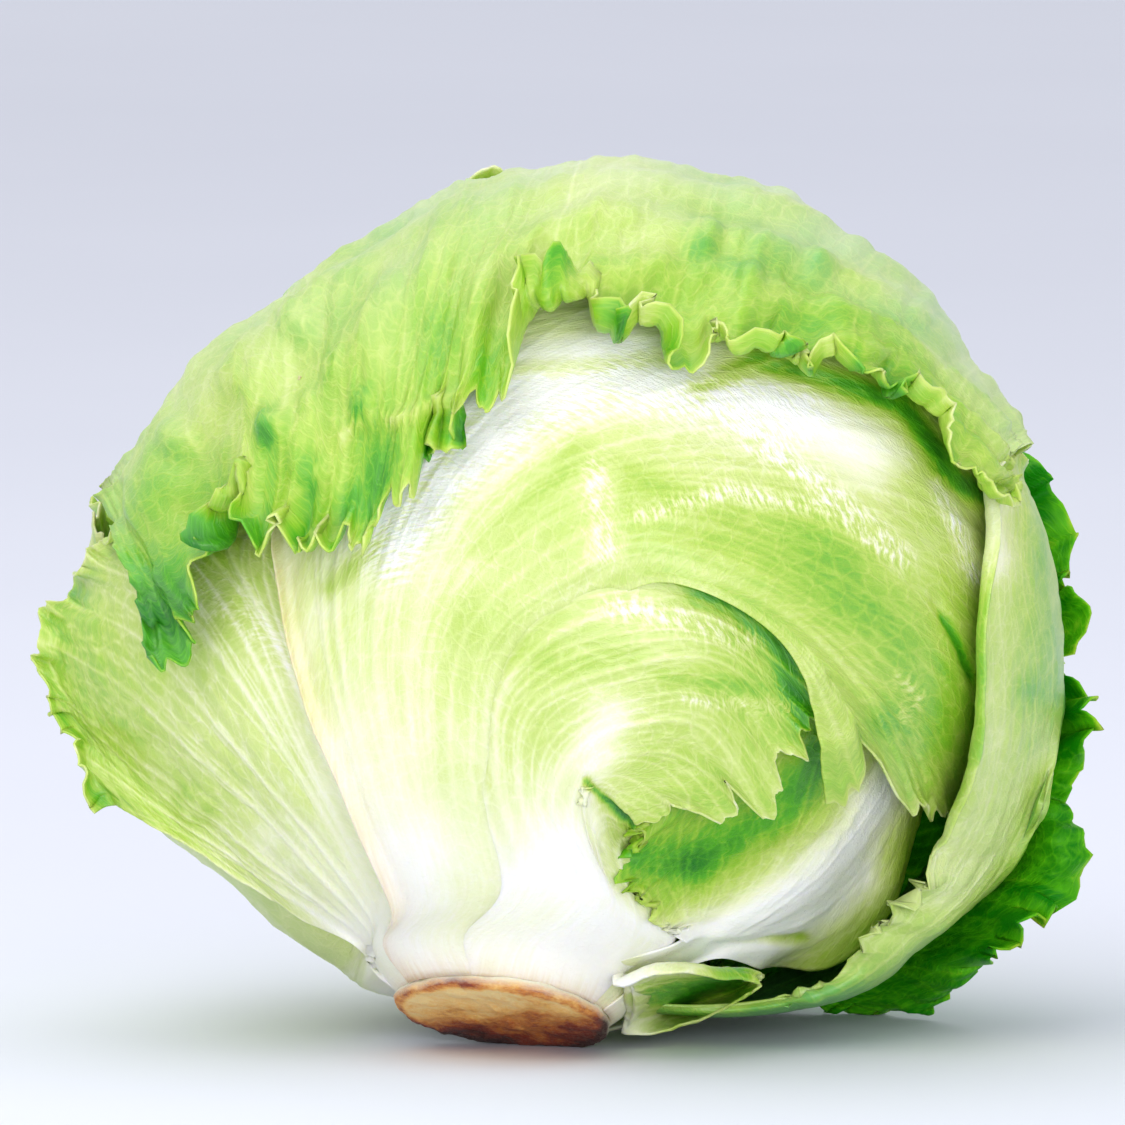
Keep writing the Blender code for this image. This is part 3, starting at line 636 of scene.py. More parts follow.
def make_leaf(**settings):
    """A leaf as a closed blade: a fine outer face, an inner face under it, and the rim between them.

    Its blisters, calm places and spots of tone are spots; its creases, bands and gleams are bands. Many spots
    and bands of tone are painted shade or painted highlight, and gleams are painted highlights.
    """
    leaf = dict(
        tooth_width=14, tooth_depth=0.03, notches=(), wave_length=24, wave_height=2.5, side_height=0,
        side_waves=20, side_teeth={}, rib_at=0, flare=INNER_FLARE, root_lift=0, lowest=0, sink=0,
        columns=200, rows=110, veins=9, branches=5, vein_width=1.1, vein_height=0.75, vein_tone=0.24,
        quilt=0.5, swell=0.35, blisters=(), creases=(), calm=(), shade_and_tone_spots=(), bands=(), gleams=(), painted_sheen=0,
        frill_length=11, frill_height=1.1, stretches=(), tooth_power=1, fine_teeth=1.6, roll=0.7,
        roll_reach=6, side_rolls={}, side_frills={}, side_tone=0, blush=0, gloss=0.4, shine=1, fibre=0.7,
    ) | settings
    first, last = leaf["stem_angles"]
    lift = leaf["root_lift"]
    root, flare = LEAF_ROOT, leaf["flare"]
    for angle, guide in zip(np.linspace(first, last, len(leaf["guides"])), leaf["guides"]):
        guide[:0] = [at_stem(angle, root[0], root[1] + lift), at_stem(angle, flare[0], flare[1] + lift)]
    measure(leaf)
    points, thick, values, flat = leaf_form(leaf)
    world = to_world(points.reshape(-1, 3)).reshape(points.shape)
    world[..., 2] = np.maximum(world[..., 2], leaf["lowest"] * MM)
    centre = np.array(HEAD_CENTRE) * MM
    out = unit(softened(grid_directions(world - centre)[2], 2))
    inner = world - out * (thick * MM)[..., None]
    inner[..., 2] = np.maximum(inner[..., 2], leaf["lowest"] * MM + INNER_GAP)
    rows, columns = thick.shape
    normal = np.cross(world[1:, :-1] - world[:-1, :-1], world[:-1, 1:] - world[:-1, :-1])
    flip = np.sum(normal * (world[:-1, :-1] - centre)) > 0
    faces = np.concatenate([
        grid_faces(rows, columns, 0, flip),
        grid_faces(rows, columns, rows * columns, not flip),
        rim_faces(rows, columns)[:, ::-1] if flip else rim_faces(rows, columns),
    ])
    both = {label: np.stack([value, value]) for label, value in values.items()}
    flat = np.concatenate([flat, np.full((*thick.shape, 1), 10.0 * leaf["seed"])], axis=-1)
    vertices = np.concatenate([world.reshape(-1, 3), inner.reshape(-1, 3)])
    piece = solid_mesh(leaf["name"] + "_fine", vertices, faces, both, np.stack([flat, flat]))
    finish_piece(piece, leaf["name"], leaf_material(leaf["name"] + "_skin", leaf))
    return piece


# Materials


def set_inputs(node, values):
    """Sets some of a node's inputs, given by name or number."""
    for name, value in values.items():
        node.inputs[name].default_value = value


def add_node(tree, kind, values=None, **settings):
    """A node with some of its settings and input values given."""
    node = tree.nodes.new(kind)
    for name, value in settings.items():
        setattr(node, name, value)
    set_inputs(node, values or {})
    return node


class Value:
    """A number that a material computes. Adding to it, subtracting or multiplying makes a math node."""

    def __init__(self, tree, socket):
        self.tree = tree
        self.socket = socket

    def __add__(self, other):
        return computed(self.tree, "ADD", self, other)

    def __sub__(self, other):
        return computed(self.tree, "SUBTRACT", self, other)

    def __rsub__(self, other):
        return computed(self.tree, "SUBTRACT", other, self)

    def __mul__(self, other):
        return computed(self.tree, "MULTIPLY", self, other)

    def clamped(self):
        """The same value, kept from 0 to 1 by its own node."""
        self.socket.node.use_clamp = True
        return self


def computed(tree, operation, first, second):
    """The value of a math node, whose inputs are values or plain numbers."""
    node = add_node(tree, "ShaderNodeMath", operation=operation)
    for socket, given in zip(node.inputs, (first, second)):
        if isinstance(given, Value):
            tree.links.new(given.socket, socket)
        else:
            socket.default_value = given
    return Value(tree, node.outputs[0])


def attribute(tree, name):
    """A surface value that the mesh carries."""
    return Value(tree, add_node(tree, "ShaderNodeAttribute", attribute_name=name).outputs["Fac"])


def unrolled(tree):
    """The unrolled places that the mesh carries, as a vector."""
    return add_node(tree, "ShaderNodeAttribute", attribute_name="flat").outputs["Vector"]


def noise(tree, vector, scale, detail=3, roughness=0.55):
    """Soft random noise, from 0 to 1."""
    node = add_node(
        tree, "ShaderNodeTexNoise", {"Scale": scale, "Detail": detail, "Roughness": roughness}
    )
    tree.links.new(vector, node.inputs["Vector"])
    return Value(tree, node.outputs["Fac"])


def stretched(tree, vector, scale):
    """The vector, scaled by its own amount in each direction."""
    node = add_node(tree, "ShaderNodeMapping", {"Scale": scale})
    tree.links.new(vector, node.inputs["Vector"])
    return node.outputs["Vector"]


def cell_lines(tree, vector, scale):
    """Nearness to the lines of a fine network, from 0 to 1."""
    node = add_node(tree, "ShaderNodeTexVoronoi", {"Scale": scale}, feature="DISTANCE_TO_EDGE")
    tree.links.new(vector, node.inputs["Vector"])
    return (1 - (Value(tree, node.outputs["Distance"]) * 9).clamped()).clamped()


def ramp(tree, value, stops):
    """A colour for a value, from stops that each have a place and a colour."""
    node = add_node(tree, "ShaderNodeValToRGB")
    elements = node.color_ramp.elements
    while len(elements) < len(stops):
        elements.new(0.5)
    for element, (place, colour) in zip(elements, stops):
        element.position = place
        element.color = (*colour, 1)
    tree.links.new(value.socket, node.inputs["Fac"])
    return node.outputs["Color"]


def mixed(tree, factor, first, second):
    """A mix of two colours. The second may be a plain colour."""
    node = add_node(tree, "ShaderNodeMix", data_type="RGBA")
    tree.links.new(factor.socket, node.inputs["Factor"])
    tree.links.new(first, node.inputs["A"])
    if isinstance(second, tuple):
        node.inputs["B"].default_value = (*second, 1)
    else:
        tree.links.new(second, node.inputs["B"])
    return node.outputs["Result"]


def bumped(tree, shader, height, strength, distance):
    """Gives a shader small bumps from a height."""
    node = add_node(tree, "ShaderNodeBump", {"Strength": strength, "Distance": distance})
    tree.links.new(height.socket, node.inputs["Height"])
    tree.links.new(node.outputs["Normal"], shader.inputs["Normal"])


def new_material(name):
    """A material, its node tree and its shader."""
    material = bpy.data.materials.new(name)
    material.use_nodes = True
    return material, material.node_tree, material.node_tree.nodes["Principled BSDF"]


# From the white rib to the darkest green, in linear red, green and blue
LEAF_COLOURS = (
    (0.0, (0.95, 0.96, 0.87)), (0.16, (0.83, 0.88, 0.56)), (0.34, (0.61, 0.72, 0.24)),
    (0.52, (0.43, 0.60, 0.08)), (0.65, (0.26, 0.50, 0.02)), (0.78, (0.08, 0.38, 0.004)),
    (0.95, (0.006, 0.18, 0.001)),
)


def leaf_material(name, look):
    """Fresh leaf: white ribs and base, green blade with pale veins, fine network, streaks, soft gloss,
    painted sheen and painted highlights.
    """
    material, tree, shader = new_material(name)
    flat = unrolled(tree)
    vein = attribute(tree, "vein")
    patches = noise(tree, flat, 0.07, 3)
    streaks = noise(tree, stretched(tree, flat, (1.1, 0.09, 1)), 1, 4, 0.6)
    grain = noise(tree, flat, 1.6, 4, 0.6)
    warp = add_node(tree, "ShaderNodeVectorMath", {1: (1.6, 1.6, 0)}, operation="MULTIPLY_ADD")
    wander = add_node(tree, "ShaderNodeTexNoise", {"Scale": 0.25, "Detail": 2})
    tree.links.new(flat, wander.inputs["Vector"])
    tree.links.new(wander.outputs["Color"], warp.inputs[0])
    tree.links.new(flat, warp.inputs[2])
    network = cell_lines(tree, warp.outputs["Vector"], 0.3)
    fine_network = cell_lines(tree, warp.outputs["Vector"], 0.85)

    tone = attribute(tree, "tone")
    grown = (tone * 2.2).clamped()
    for value, share in ((patches, 0.22), (streaks, 0.14 * look["fibre"]), (grain, 0.05)):
        tone = tone + (value - 0.5) * share
    edge = attribute(tree, "edge")
    for value, share in ((vein, look["vein_tone"]), (network, 0.06), (fine_network, 0.03), (edge, 0.18)):
        tone = tone - value * share * grown
    gleam = attribute(tree, "gleam")
    crinkle = noise(tree, stretched(tree, flat, (0.35, 1.3, 1)), 1, 3, 0.6)
    gleam = gleam * ((crinkle - 0.42) * 5).clamped()
    # gleams are painted highlights, paler in crinkled streaks; they also lower roughness and add bumps
    tone = tone - gleam * 0.35
    colour = ramp(tree, tone, LEAF_COLOURS)
    # painted sheen: the colour is mixed towards a pale grey-green
    colour = mixed(tree, attribute(tree, "painted_sheen"), colour, (0.54, 0.67, 0.52))
    blush = (attribute(tree, "blush") * (streaks + 0.1)).clamped()
    colour = mixed(tree, blush, colour, (0.70, 0.47, 0.27))
    tree.links.new(colour, shader.inputs["Base Color"])

    rough = grain * 0.22 + (look["gloss"] - 0.11) - gleam * 0.15
    tree.links.new(rough.socket, shader.inputs["Roughness"])
    set_inputs(shader, {
        "Specular IOR Level": 0.1 + 0.6 * look["shine"],
        "Coat Weight": 0.4 * look["shine"],
        "Coat Roughness": 0.3,
        "Subsurface Weight": 0.3,
        "Subsurface Radius": (0.7, 1.0, 0.25),
        "Subsurface Scale": 0.003,
    })
    height = streaks * (0.7 * look["fibre"])
    network = network * grown
    for value, share in ((grain, 0.45), (network, 0.26), (fine_network, 0.14), (gleam, 0.5)):
        height = height + value * share
    bumped(tree, shader, height, 0.55, 0.0004)
    return material


def stem_material():
    """A cut core: creamy sides, and a cut face that has dried tan with red-brown, darker patches, and painted
    shade towards its lowest part.
    """
    material, tree, shader = new_material("stem_skin")
    flat = unrolled(tree)
    patches = noise(tree, flat, 0.09, 5, 0.65)
    fibres = noise(tree, stretched(tree, flat, (0.35, 0.12, 0.35)), 1, 6, 0.7)
    grain = noise(tree, flat, 1.8, 5, 0.65)
    tone = patches * 1.1 + attribute(tree, "tone") + (fibres - 0.5) * 0.5
    face = ramp(tree, tone, (
        (0.25, (0.95, 0.70, 0.30)), (0.45, (0.88, 0.50, 0.13)), (0.60, (0.62, 0.23, 0.04)),
        (0.76, (0.27, 0.035, 0.006)), (0.95, (0.05, 0.008, 0.003)),
    ))
    side = ramp(tree, fibres, ((0.3, (0.80, 0.72, 0.50)), (0.6, (0.92, 0.92, 0.78))))
    cut = (attribute(tree, "cut") + (grain - 0.5) * 0.5).clamped()
    tree.links.new(mixed(tree, cut, side, face), shader.inputs["Base Color"])
    rough = grain * 0.3 + 0.35
    tree.links.new(rough.socket, shader.inputs["Roughness"])
    set_inputs(shader, {"Subsurface Weight": 0.15, "Subsurface Scale": 0.002})
    bumped(tree, shader, fibres + grain * 0.6, 0.7, 0.0008)
    return material


# Stem and heart


def make_stem():
    """The stump with its uneven cut face, worn flat where it rests."""
    around, down = 140, 60
    profile = np.array([  # radius and place along the axis
        (0, 50), (14.8, 50), (15.4, 58), (15.8, 68), (16.6, 73), (18.6, 75.2), (19.2, 76.2), (18.9, 77.1),
        (18.1, 77.6), (13, 77.4), (6, 77.2), (0, 77.1),
    ])
    profile_run = run_lengths(profile)
    spaced = np.linspace(0, profile_run[-1], down)
    radius = np.interp(spaced, profile_run, profile[:, 0])
    along = np.interp(spaced, profile_run, profile[:, 1])
    angle = np.linspace(0, 2 * math.pi, around, endpoint=False)
    axis, front, right = stem_frame()
    radius, turn = np.meshgrid(radius, angle, indexing="ij")
    along = np.meshgrid(along, angle, indexing="ij")[0]
    flat_face = np.stack([radius * np.cos(turn), radius * np.sin(turn)], axis=-1)
    outer = smoothly(10, 19, radius)
    uneven = 0.02 * np.sin(3 * turn + 1) + 0.008 * np.sin(7 * turn) + 0.006 * np.sin(17 * turn + 2)
    radius = radius * (1 + outer * uneven)
    cut = smoothly(75.4, 77.0, along)
    along = along + 0.25 * cut * waves(flat_face, 7, 41) + 0.15 * cut * waves(flat_face, 2.6, 42)
    points = (
        axis * along[..., None] + front * (radius * np.cos(turn))[..., None]
        + right * (radius * np.sin(turn))[..., None]
    )
    world = to_world(points.reshape(-1, 3))
    world[:, 2] = np.maximum(world[:, 2], 0)
    flat = np.concatenate([flat_face, along[..., None] * 3], axis=-1)
    lower = points[..., 2] - points[..., 2].min()
    # the cut face darkens towards its lowest part, red-brown discolouring deepened by painted shade near the
    # floor, and darkens again at its rim
    tone = 0.62 * (1 - smoothly(1, 10, lower)) + 0.34 * smoothly(16.6, 18.6, radius) - 0.27
    piece = solid_mesh("stem_fine", world, tube_faces(down, around), dict(tone=tone, cut=cut), flat)
    finish_piece(piece, "stem", stem_material())


def make_heart():
    """The dense ball of inner leaves: overlapping blades with low free edges, each veined."""
    around, down = 160, 80
    turn, height = np.meshgrid(np.linspace(0, 1, around, endpoint=False), np.linspace(0, 1, down))
    axis, front, right = stem_frame()
    slant = math.pi * (0.12 + 0.88 * height)
    ring = np.sin(slant)[..., None]
    round_axis = front * np.cos(2 * math.pi * turn)[..., None] + right * np.sin(2 * math.pi * turn)[..., None]
    directions = (axis * np.cos(slant)[..., None] + ring * round_axis).reshape(-1, 3)
    steps = (turn * HEART_STEPS_ROUND + np.cos(slant) * HEART_STEP_TWIST) % 1
    flat = np.stack([turn * 400, slant * 70], axis=-1)
    veins = np.exp(-((np.sin(turn * 2 * math.pi * 22 + 2 * np.sin(slant * 3)) / 0.22) ** 2))
    radius = head_radius(directions).reshape(turn.shape) - HEART_DEPTH
    radius = radius - HEART_STEP * steps**3 * np.sin(slant) + 0.25 * veins * np.sin(slant)
    points = to_world(directions * radius.reshape(-1, 1))
    nothing = np.zeros(turn.shape)
    values = dict(
        tone=0.5 + 0.12 * waves(flat, 40, 50), vein=veins * 0.8, edge=steps**12, blush=nothing, gleam=nothing,
        painted_sheen=nothing,
    )
    flat = np.concatenate([flat, np.full((*turn.shape, 1), 77.0)], axis=-1)
    piece = solid_mesh("heart_fine", points, tube_faces(down, around), values, flat)
    look = dict(gloss=0.42, fibre=1, vein_tone=0.24, shine=0.7)
    finish_piece(piece, "heart", leaf_material("heart_skin", look))


# The leaves: their guides are those of their solids, some points moved to follow the photo more closely


def ragged(teeth, frills_end=1.3):
    """Frills and teeth along both sides of a wrapper leaf. On the first side the frills may end early."""
    return dict(
        side_frills={-1: (1.2, 0.2, frills_end), 1: (1.2, 0.2, 1.3)},
        side_teeth={side: (teeth, 0.2, 1.3) for side in (-1, 1)},
    )


LEAF_FRONT = dict(
    name="leaf_front", seed=3, stem_angles=(-24, 56), wave_height=1, tooth_depth=0.05, tooth_width=10,
    rib_at=-0.3, columns=230, rows=120, veins=12, branches=4, vein_height=0.6, quilt=0.3,
    calm=((4.5, -34, 4, 1),), vein_tone=0.17, frill_height=0.5, roll=0.3, fibre=0.9,
    creases=((-1.3, 0.8, ((4.5, -31), (8, -35), (14, -41))),),
    notches=((0.0, 0.10, 0.07), (-0.3, 0.05, 0.06), (0.28, 0.08, 0.08)),
    tones=((0, 0), (0.25, 0.04), (0.42, 0.33), (0.7, 0.51), (1, 0.58)),
    # The first band is painted shadow cast by leaf_fold's margin, the thin dark band along the slit is
    # painted shade in it; the others are paler and greener tone.
    bands=(
        (0.32, 3, ((24, 2), (32, -1), (39, -9), (43, -22))), (-0.2, 6, ((8, -20), (2, -44))),
        (0.6, 0.7, ((4.5, -31.5), (8.5, -35.5), (14, -41))), (0.12, 3.5, ((-8, -8), (2, -11), (12, -10))),
        (0.10, 2, ((18, -13.5), (36, -15.5))), (-0.12, 3, ((10, -21), (0, -30)))
    ),
    gleams=((0.9, 2.4, ((9, -1), (20, -3), (33, -7))), (0.7, 1.6, ((22, -17), (40, -19)))),
    guides=[
        shown((-13, -50, -0.5), (-17, -30, -0.7), (-14, -10, -0.7), (0, 8, -0.8), (28, 10, -0.8),
              (50, -12, 0)),
        shown((-8, -50, 0), (-12, -32, -0.3), (-11, -14, -0.5), (3, -1, -0.5), (26, -1, -0.5), (48, -18, 0)),
        shown((-2, -49, 0), (-7, -33, 0), (-5, -19, 0), (9, -12, 0), (28, -10, 0), (45, -26, 0)),
        shown((3, -50, 0), (-2, -36, 0), (2, -26, 0), (13, -21, 0), (26, -22, 0), (38, -39, 1)),
        shown((8, -52, 0), (3, -40, 0), (5, -31, 0), (13, -28, 0), (21, -30, 0), (31, -39, 1)),
        shown((9, -53, 0), (5, -42, 0), (4, -35, 0), (7, -33, 0), (11, -35.5, 0.5), (14, -39.5, 1.5)),
        shown((11, -55, 0), (9, -48, -0.3), (8, -43, -0.6), (9, -40.5, -1.2), (11, -40.3, -2.4),
              (13.5, -41, -3.8)),
        shown((20, -60, -0.8), (19, -55, -2.4), (16.5, -50, -4), (15.5, -47, -4.8), (15.5, -45.5, -5.4),
              (16, -44.5, -6)),
    ],
)

LEAF_FOLD = dict(
    name="leaf_fold", seed=5, stem_angles=(-66, -12), root_lift=0.3, wave_length=30, wave_height=0.8,
    tooth_width=16, rib_at=-0.6, notches=((0.905, 0.10, 0.065), (0.80, 0.045, 0.13)), columns=250, rows=150,
    veins=14, vein_height=0.55, vein_tone=0.13, quilt=0.35, sink=1.5, frill_height=0.6, roll=0.4, blush=0.8,
    side_rolls={-1: (1.6, 3.6, 0.05, 1.3)}, side_tone=0.12, fibre=0.9,
    creases=((-0.8, 0.8, ((66, 0), (69, -6), (72, -13))),),
    tones=((0, 0), (0.18, 0.12), (0.3, 0.26), (0.4, 0.35), (0.55, 0.43), (1, 0.48)),
    # The pale spots at the upper left and top are painted highlight and the small dark spot low on the right
    # is painted shade in a hollow; the other two are the leaf's own greener tone.
    shade_and_tone_spots=(
        (-22, 32, 18, -0.16), (66, -8, 16, 0.04), (14, 40, 12, -0.12), (-16, -2, 8, 0.08),
        (56.4, -21.7, 3.4, 0.16)
    ),
    # The first two bands are painted shadow under wrapper_top's margin, the wide pale arc and the pale
    # streaks are painted highlight, and the thin dark line on the right is painted shade in a crease; the
    # rest are greener streaks and patches.
    bands=(
        (0.34, 1.8, ((-40, 2), (-32, 10), (-20, 25), (-14, 33), (-9, 40), (4, 41), (20, 42))),
        (0.46, 2.4, ((24, 37), (34, 42), (48, 38), (60, 34), (66, 26), (69, 21), (76, 18))),
        (-0.36, 7, ((-30, 14), (-20, 28), (-8, 38), (8, 42), (26, 37), (42, 32), (54, 25))),
        (0.14, 3, ((-13, 9), (-6, 16), (0.5, 23))), (0.14, 2.6, ((3, 27), (12, 22), (21, 19))),
        (0.16, 7, ((30, 13), (42, 10), (54, 0), (64, -12), (68, -24))), (-0.12, 3.5, ((7, 24), (7, 8))),
        (0.3, 0.8, ((67.5, -3), (70, -8), (72, -13))), (-0.16, 2.5, ((67, 20), (71, 12), (73, 4)))
    ),
    gleams=(
        (1, 5, ((-30, 8), (-20, 22), (-6, 33), (10, 38), (27, 35), (40, 33))), (0.7, 2.6, ((6, 23), (8, 9))),
        (1, 1.8, ((14, 15), (29, 19), (46, 16), (58, 9))), (1, 2.2, ((34, 28), (48, 18), (60, 7))),
        (0.9, 1.8, ((66, 20), (70, 12), (73, 4))), (0.8, 1.6, ((60, -14), (63, -17), (60, -20)))
    ),
    guides=[
        shown((-29, -53, 2), (-37, -34, 2), (-43, -20, 2), (-47, -5, 2), (-49, 8, 2), (-49, 22, 2),
              (-44, 38, 2)),
        shown((-26, -52, 2), (-33, -32, 2.5), (-38, -13, 2.5), (-39, 6, 2.5), (-36, 24, 2), (-28, 42, 2),
              (-16, 58, 1.5)),
        shown((-23, -52, 2), (-29, -31, 2.5), (-33, -9, 2.5), (-30, 13, 2.5), (-19, 33, 2.5), (-2, 49, 2),
              (22, 62, 1.5)),
        shown((-21, -51, 1.8), (-26, -30, 2), (-27, -7, 2), (-20, 14, 2), (-3, 31, 2), (24, 43, 2),
              (56, 50, 1.5)),
        shown((-19, -51, 1.5), (-23, -29, 1.6), (-23, -6, 1.6), (-12, 13, 1.6), (9, 25, 1.6), (40, 28, 2),
              (77, 16, 2)),
        shown((-17, -50, 1.2), (-21, -28, 1.2), (-19, -6, 1.2), (-6, 9, 1.2), (16, 17, 1.5), (48, 9, 2.5),
              (78, -20, 2)),
        shown((-12, -50, 0.8), (-15, -28, 0.8), (-12, -8, 0.8), (2, 3.5, 0.8), (18, 9, 1.5), (47, -4, 3.5),
              (66, -41, 2.5)),
        shown((-7, -50, 0.6), (-10, -28, 0.6), (-6, -12, 0.6), (6, -2, 0.6), (20, 3, 1.2), (40, -9, 3.5),
              (46, -36, 4)),
    ],
)

LEAF_HOLLOW = dict(
    name="leaf_hollow", seed=8, stem_angles=(46, 78), root_lift=-0.3, wave_height=0.5, rib_at=0.3,
    tooth_depth=0.02, columns=180, rows=100, veins=7, branches=6, vein_height=0.6, gloss=0.3, shine=0.35,
    vein_tone=0.12, frill_height=0.8, side_frills={-1: (2.2, 0.25, 1.3)}, side_teeth={-1: (0.16, 0.3, 1.3)},
    fine_teeth=2.5, tones=((0, 0.1), (0.25, 0.45), (0.5, 0.64), (1, 0.7)),
    # The spot and the darker band over its left half are painted shade in the hollow, and the thin dark line
    # along the crease is painted shade in it; the pale bands are its white rib and whitish lower blade.
    creases=((-0.8, 0.9, ((27, -61), (34, -60.5), (43, -59.5))),), shade_and_tone_spots=((23, -46, 4, 0.12),),
    bands=(
        (-0.62, 6, ((20, -63), (34, -56), (43, -50), (52, -41), (58, -32))),
        (0.2, 4, ((14, -46), (24, -45), (36, -38), (46, -28))), (-0.4, 5, ((28, -64), (42, -59), (54, -50))),
        (0.45, 0.9, ((27, -61), (34, -60.5), (43, -59.5)))
    ),
    guides=[
        shown((21, -60, 0.5), (16, -57, 0.8), (11.5, -52.5, 1.1), (9, -48.5, 1.1), (10.5, -43.5, 0.2),
              (15, -37, -2.4)),
        shown((22, -60, 0), (22, -54, -3), (21, -47, -6), (21, -42, -6), (23, -35, -5), (26, -25, -5)),
        shown((24, -60, -1), (28, -54, -4), (32, -47, -6), (34, -39, -6), (36, -29, -5), (38, -15, -5)),
        shown((26, -61, -1), (36, -54, -2), (45, -46, -3), (51, -38, -3.5), (56, -29, -4), (60, -15, -5)),
        shown((27, -62, -1), (42, -57, -1), (52, -49, -1.5), (58, -40, -2), (62, -31, -3), (66, -18, -5)),
        shown((28, -63, 0), (38, -65, 1), (48, -65, 1.5), (57, -57, 1), (62, -44, -1.5), (65, -30, -4)),
    ],
)

LEAF_LEFT = dict(
    name="leaf_left", seed=13, stem_angles=(-122, -58), root_lift=-0.5, wave_length=20, wave_height=2,
    tooth_width=9, tooth_depth=0.05, rib_at=0.2, columns=220, vein_width=1.6, vein_height=0.8,
    frill_height=1.3, roll=0.9, tones=((0, 0), (0.25, 0.12), (0.55, 0.42), (1, 0.66)), side_tone=-0.04,
    fibre=0.3, blisters=((-64, -36, 3.2, 0.9), (-74, -22, 2.4, 0.6)),
    gleams=((0.4, 4, ((-46, -10), (-58, -1), (-66, 4))),), stretches=((-83, -28, 12, 0.8, 0.5, 0),),
    guides=[
        shown((-36, -61, 3), (-46, -56, 4), (-58, -48, 7), (-70, -41, 12), (-81, -34, 16)),
        shown((-35, -60, 2), (-48, -50, 3), (-62, -39, 6), (-76, -29, 10), (-88, -18, 17)),
        shown((-34, -57, 1.5), (-46, -43, 2), (-60, -29, 4), (-76, -15, 8), (-92, -5, 18)),
        shown((-33, -53, 1), (-44, -35, 1), (-57, -17, 3), (-70, -1, 4.5), (-83, 6, 10)),
        shown((-31, -51, 0), (-42, -29, 0), (-51, -9, 1), (-60, 6, 2), (-67, 17, 2)),
        shown((-20, -50, -2.5), (-30, -33, -3), (-37, -14, -3), (-41, 5, -2.5), (-42, 22, -2)),
    ],
)

LEAF_RIGHT = dict(
    name="leaf_right", seed=17, stem_angles=(104, 124), wave_height=1, side_height=1.6, side_waves=30,
    columns=150, rows=150, branches=6, vein_height=0.6, frill_height=0.8,
    side_rolls={-1: (1.5, 4.0, 0.5, 1.3)}, side_teeth={-1: (0.16, 0.26, 0.56)}, fibre=0.4,
    side_frills={-1: (2.6, 0.22, 0.6), 1: (1.5, 0.3, 1.3)}, side_tone=0.25, painted_sheen=0.12, vein_tone=0.16,
    shade_and_tone_spots=((83, -16, 3.5, 0.14), (84, -26, 3, 0.14)),
    # Its stalk end, which runs low under the head near the floor, is painted dark green as shade.
    tones=((0, 0.86), (0.28, 0.86), (0.4, 0.74), (0.7, 0.78), (1, 0.76)),
    # Bands: painted shade along its lower edge near the floor, painted highlight on its pale lower right and
    # on its paler top, and a pale and a thin darker line along its rolled left edge.
    bands=(
        (0.12, 4, ((36, -72), (50, -72), (62, -67))), (-0.16, 6, ((70, -52), (80, -40), (86, -28))),
        (-0.3, 4.5, ((75, 24), (76, 16), (77, 8))),
        (-0.1, 2.6, ((76, 22), (77.5, 4), (77, -16), (75, -34), (66, -46))),
        (0.16, 1.6, ((72, 14), (72.5, -8), (70.5, -26)))
    ),
    guides=[
        shown((46, -67.5, 10), (53.5, -58.5, 9.5), (62, -49, 8), (68, -35, 7), (71, -15, 6.5),
              (72, 5, 6.5), (72.5, 27, 3)),
        shown((50, -69.5, 13.5), (63, -60.5, 14.5), (75.5, -50, 16.5), (83, -36, 15.5), (86, -14, 12.5),
              (83, 5, 9), (77, 28, 3)),
        hidden((49, -67, 12), (62.5, -58.5, 14), (78.5, -49, 19.2), (86, -34, 18), (88.5, -13, 14),
               (86, 5, 9.5), (77, 27, 3)),
        hidden((43, -63, 12.5), (55, -56, 12), (66, -46, 11), (75, -31, 10), (82, -12, 8.5), (80, 3, 7),
               (75, 20, 3.5)),
    ],
)

LEAF_REMNANT = dict(
    name="leaf_remnant", seed=19, stem_angles=(68, 104), root_lift=0.2, wave_height=0.5, tooth_depth=0.06,
    tooth_width=5, columns=110, rows=60, veins=5, branches=3, vein_height=0.4, frill_height=0.5,
    frill_length=7, roll=0.3, side_rolls={-1: (2.2, 3.4, 0.15, 1.3)}, gloss=0.34,
    tones=((0, 0.02), (0.3, 0.2), (0.6, 0.5), (1, 0.55)),
    # The dark band along its lower part is painted shade in its hollow; the pale one follows its rolled upper
    # edge.
    bands=((0.45, 3.5, ((15, -69), (22, -69.5), (30, -67))), (-0.3, 2.5, ((12, -66), (22, -63)))),
    guides=[
        shown((11, -65.8, 3), (21, -62.6, 4), (36, -64.5, 4.5)),
        shown((11.5, -69, 2), (22, -67.5, 0.5), (36.5, -65.3, 2)),
        shown((11.5, -73, 2.5), (22, -71.5, 1), (36.5, -66.2, 3)),
        shown((11, -76.5, 5), (22, -75, 5.5), (35.5, -67.2, 5)),
    ],
)

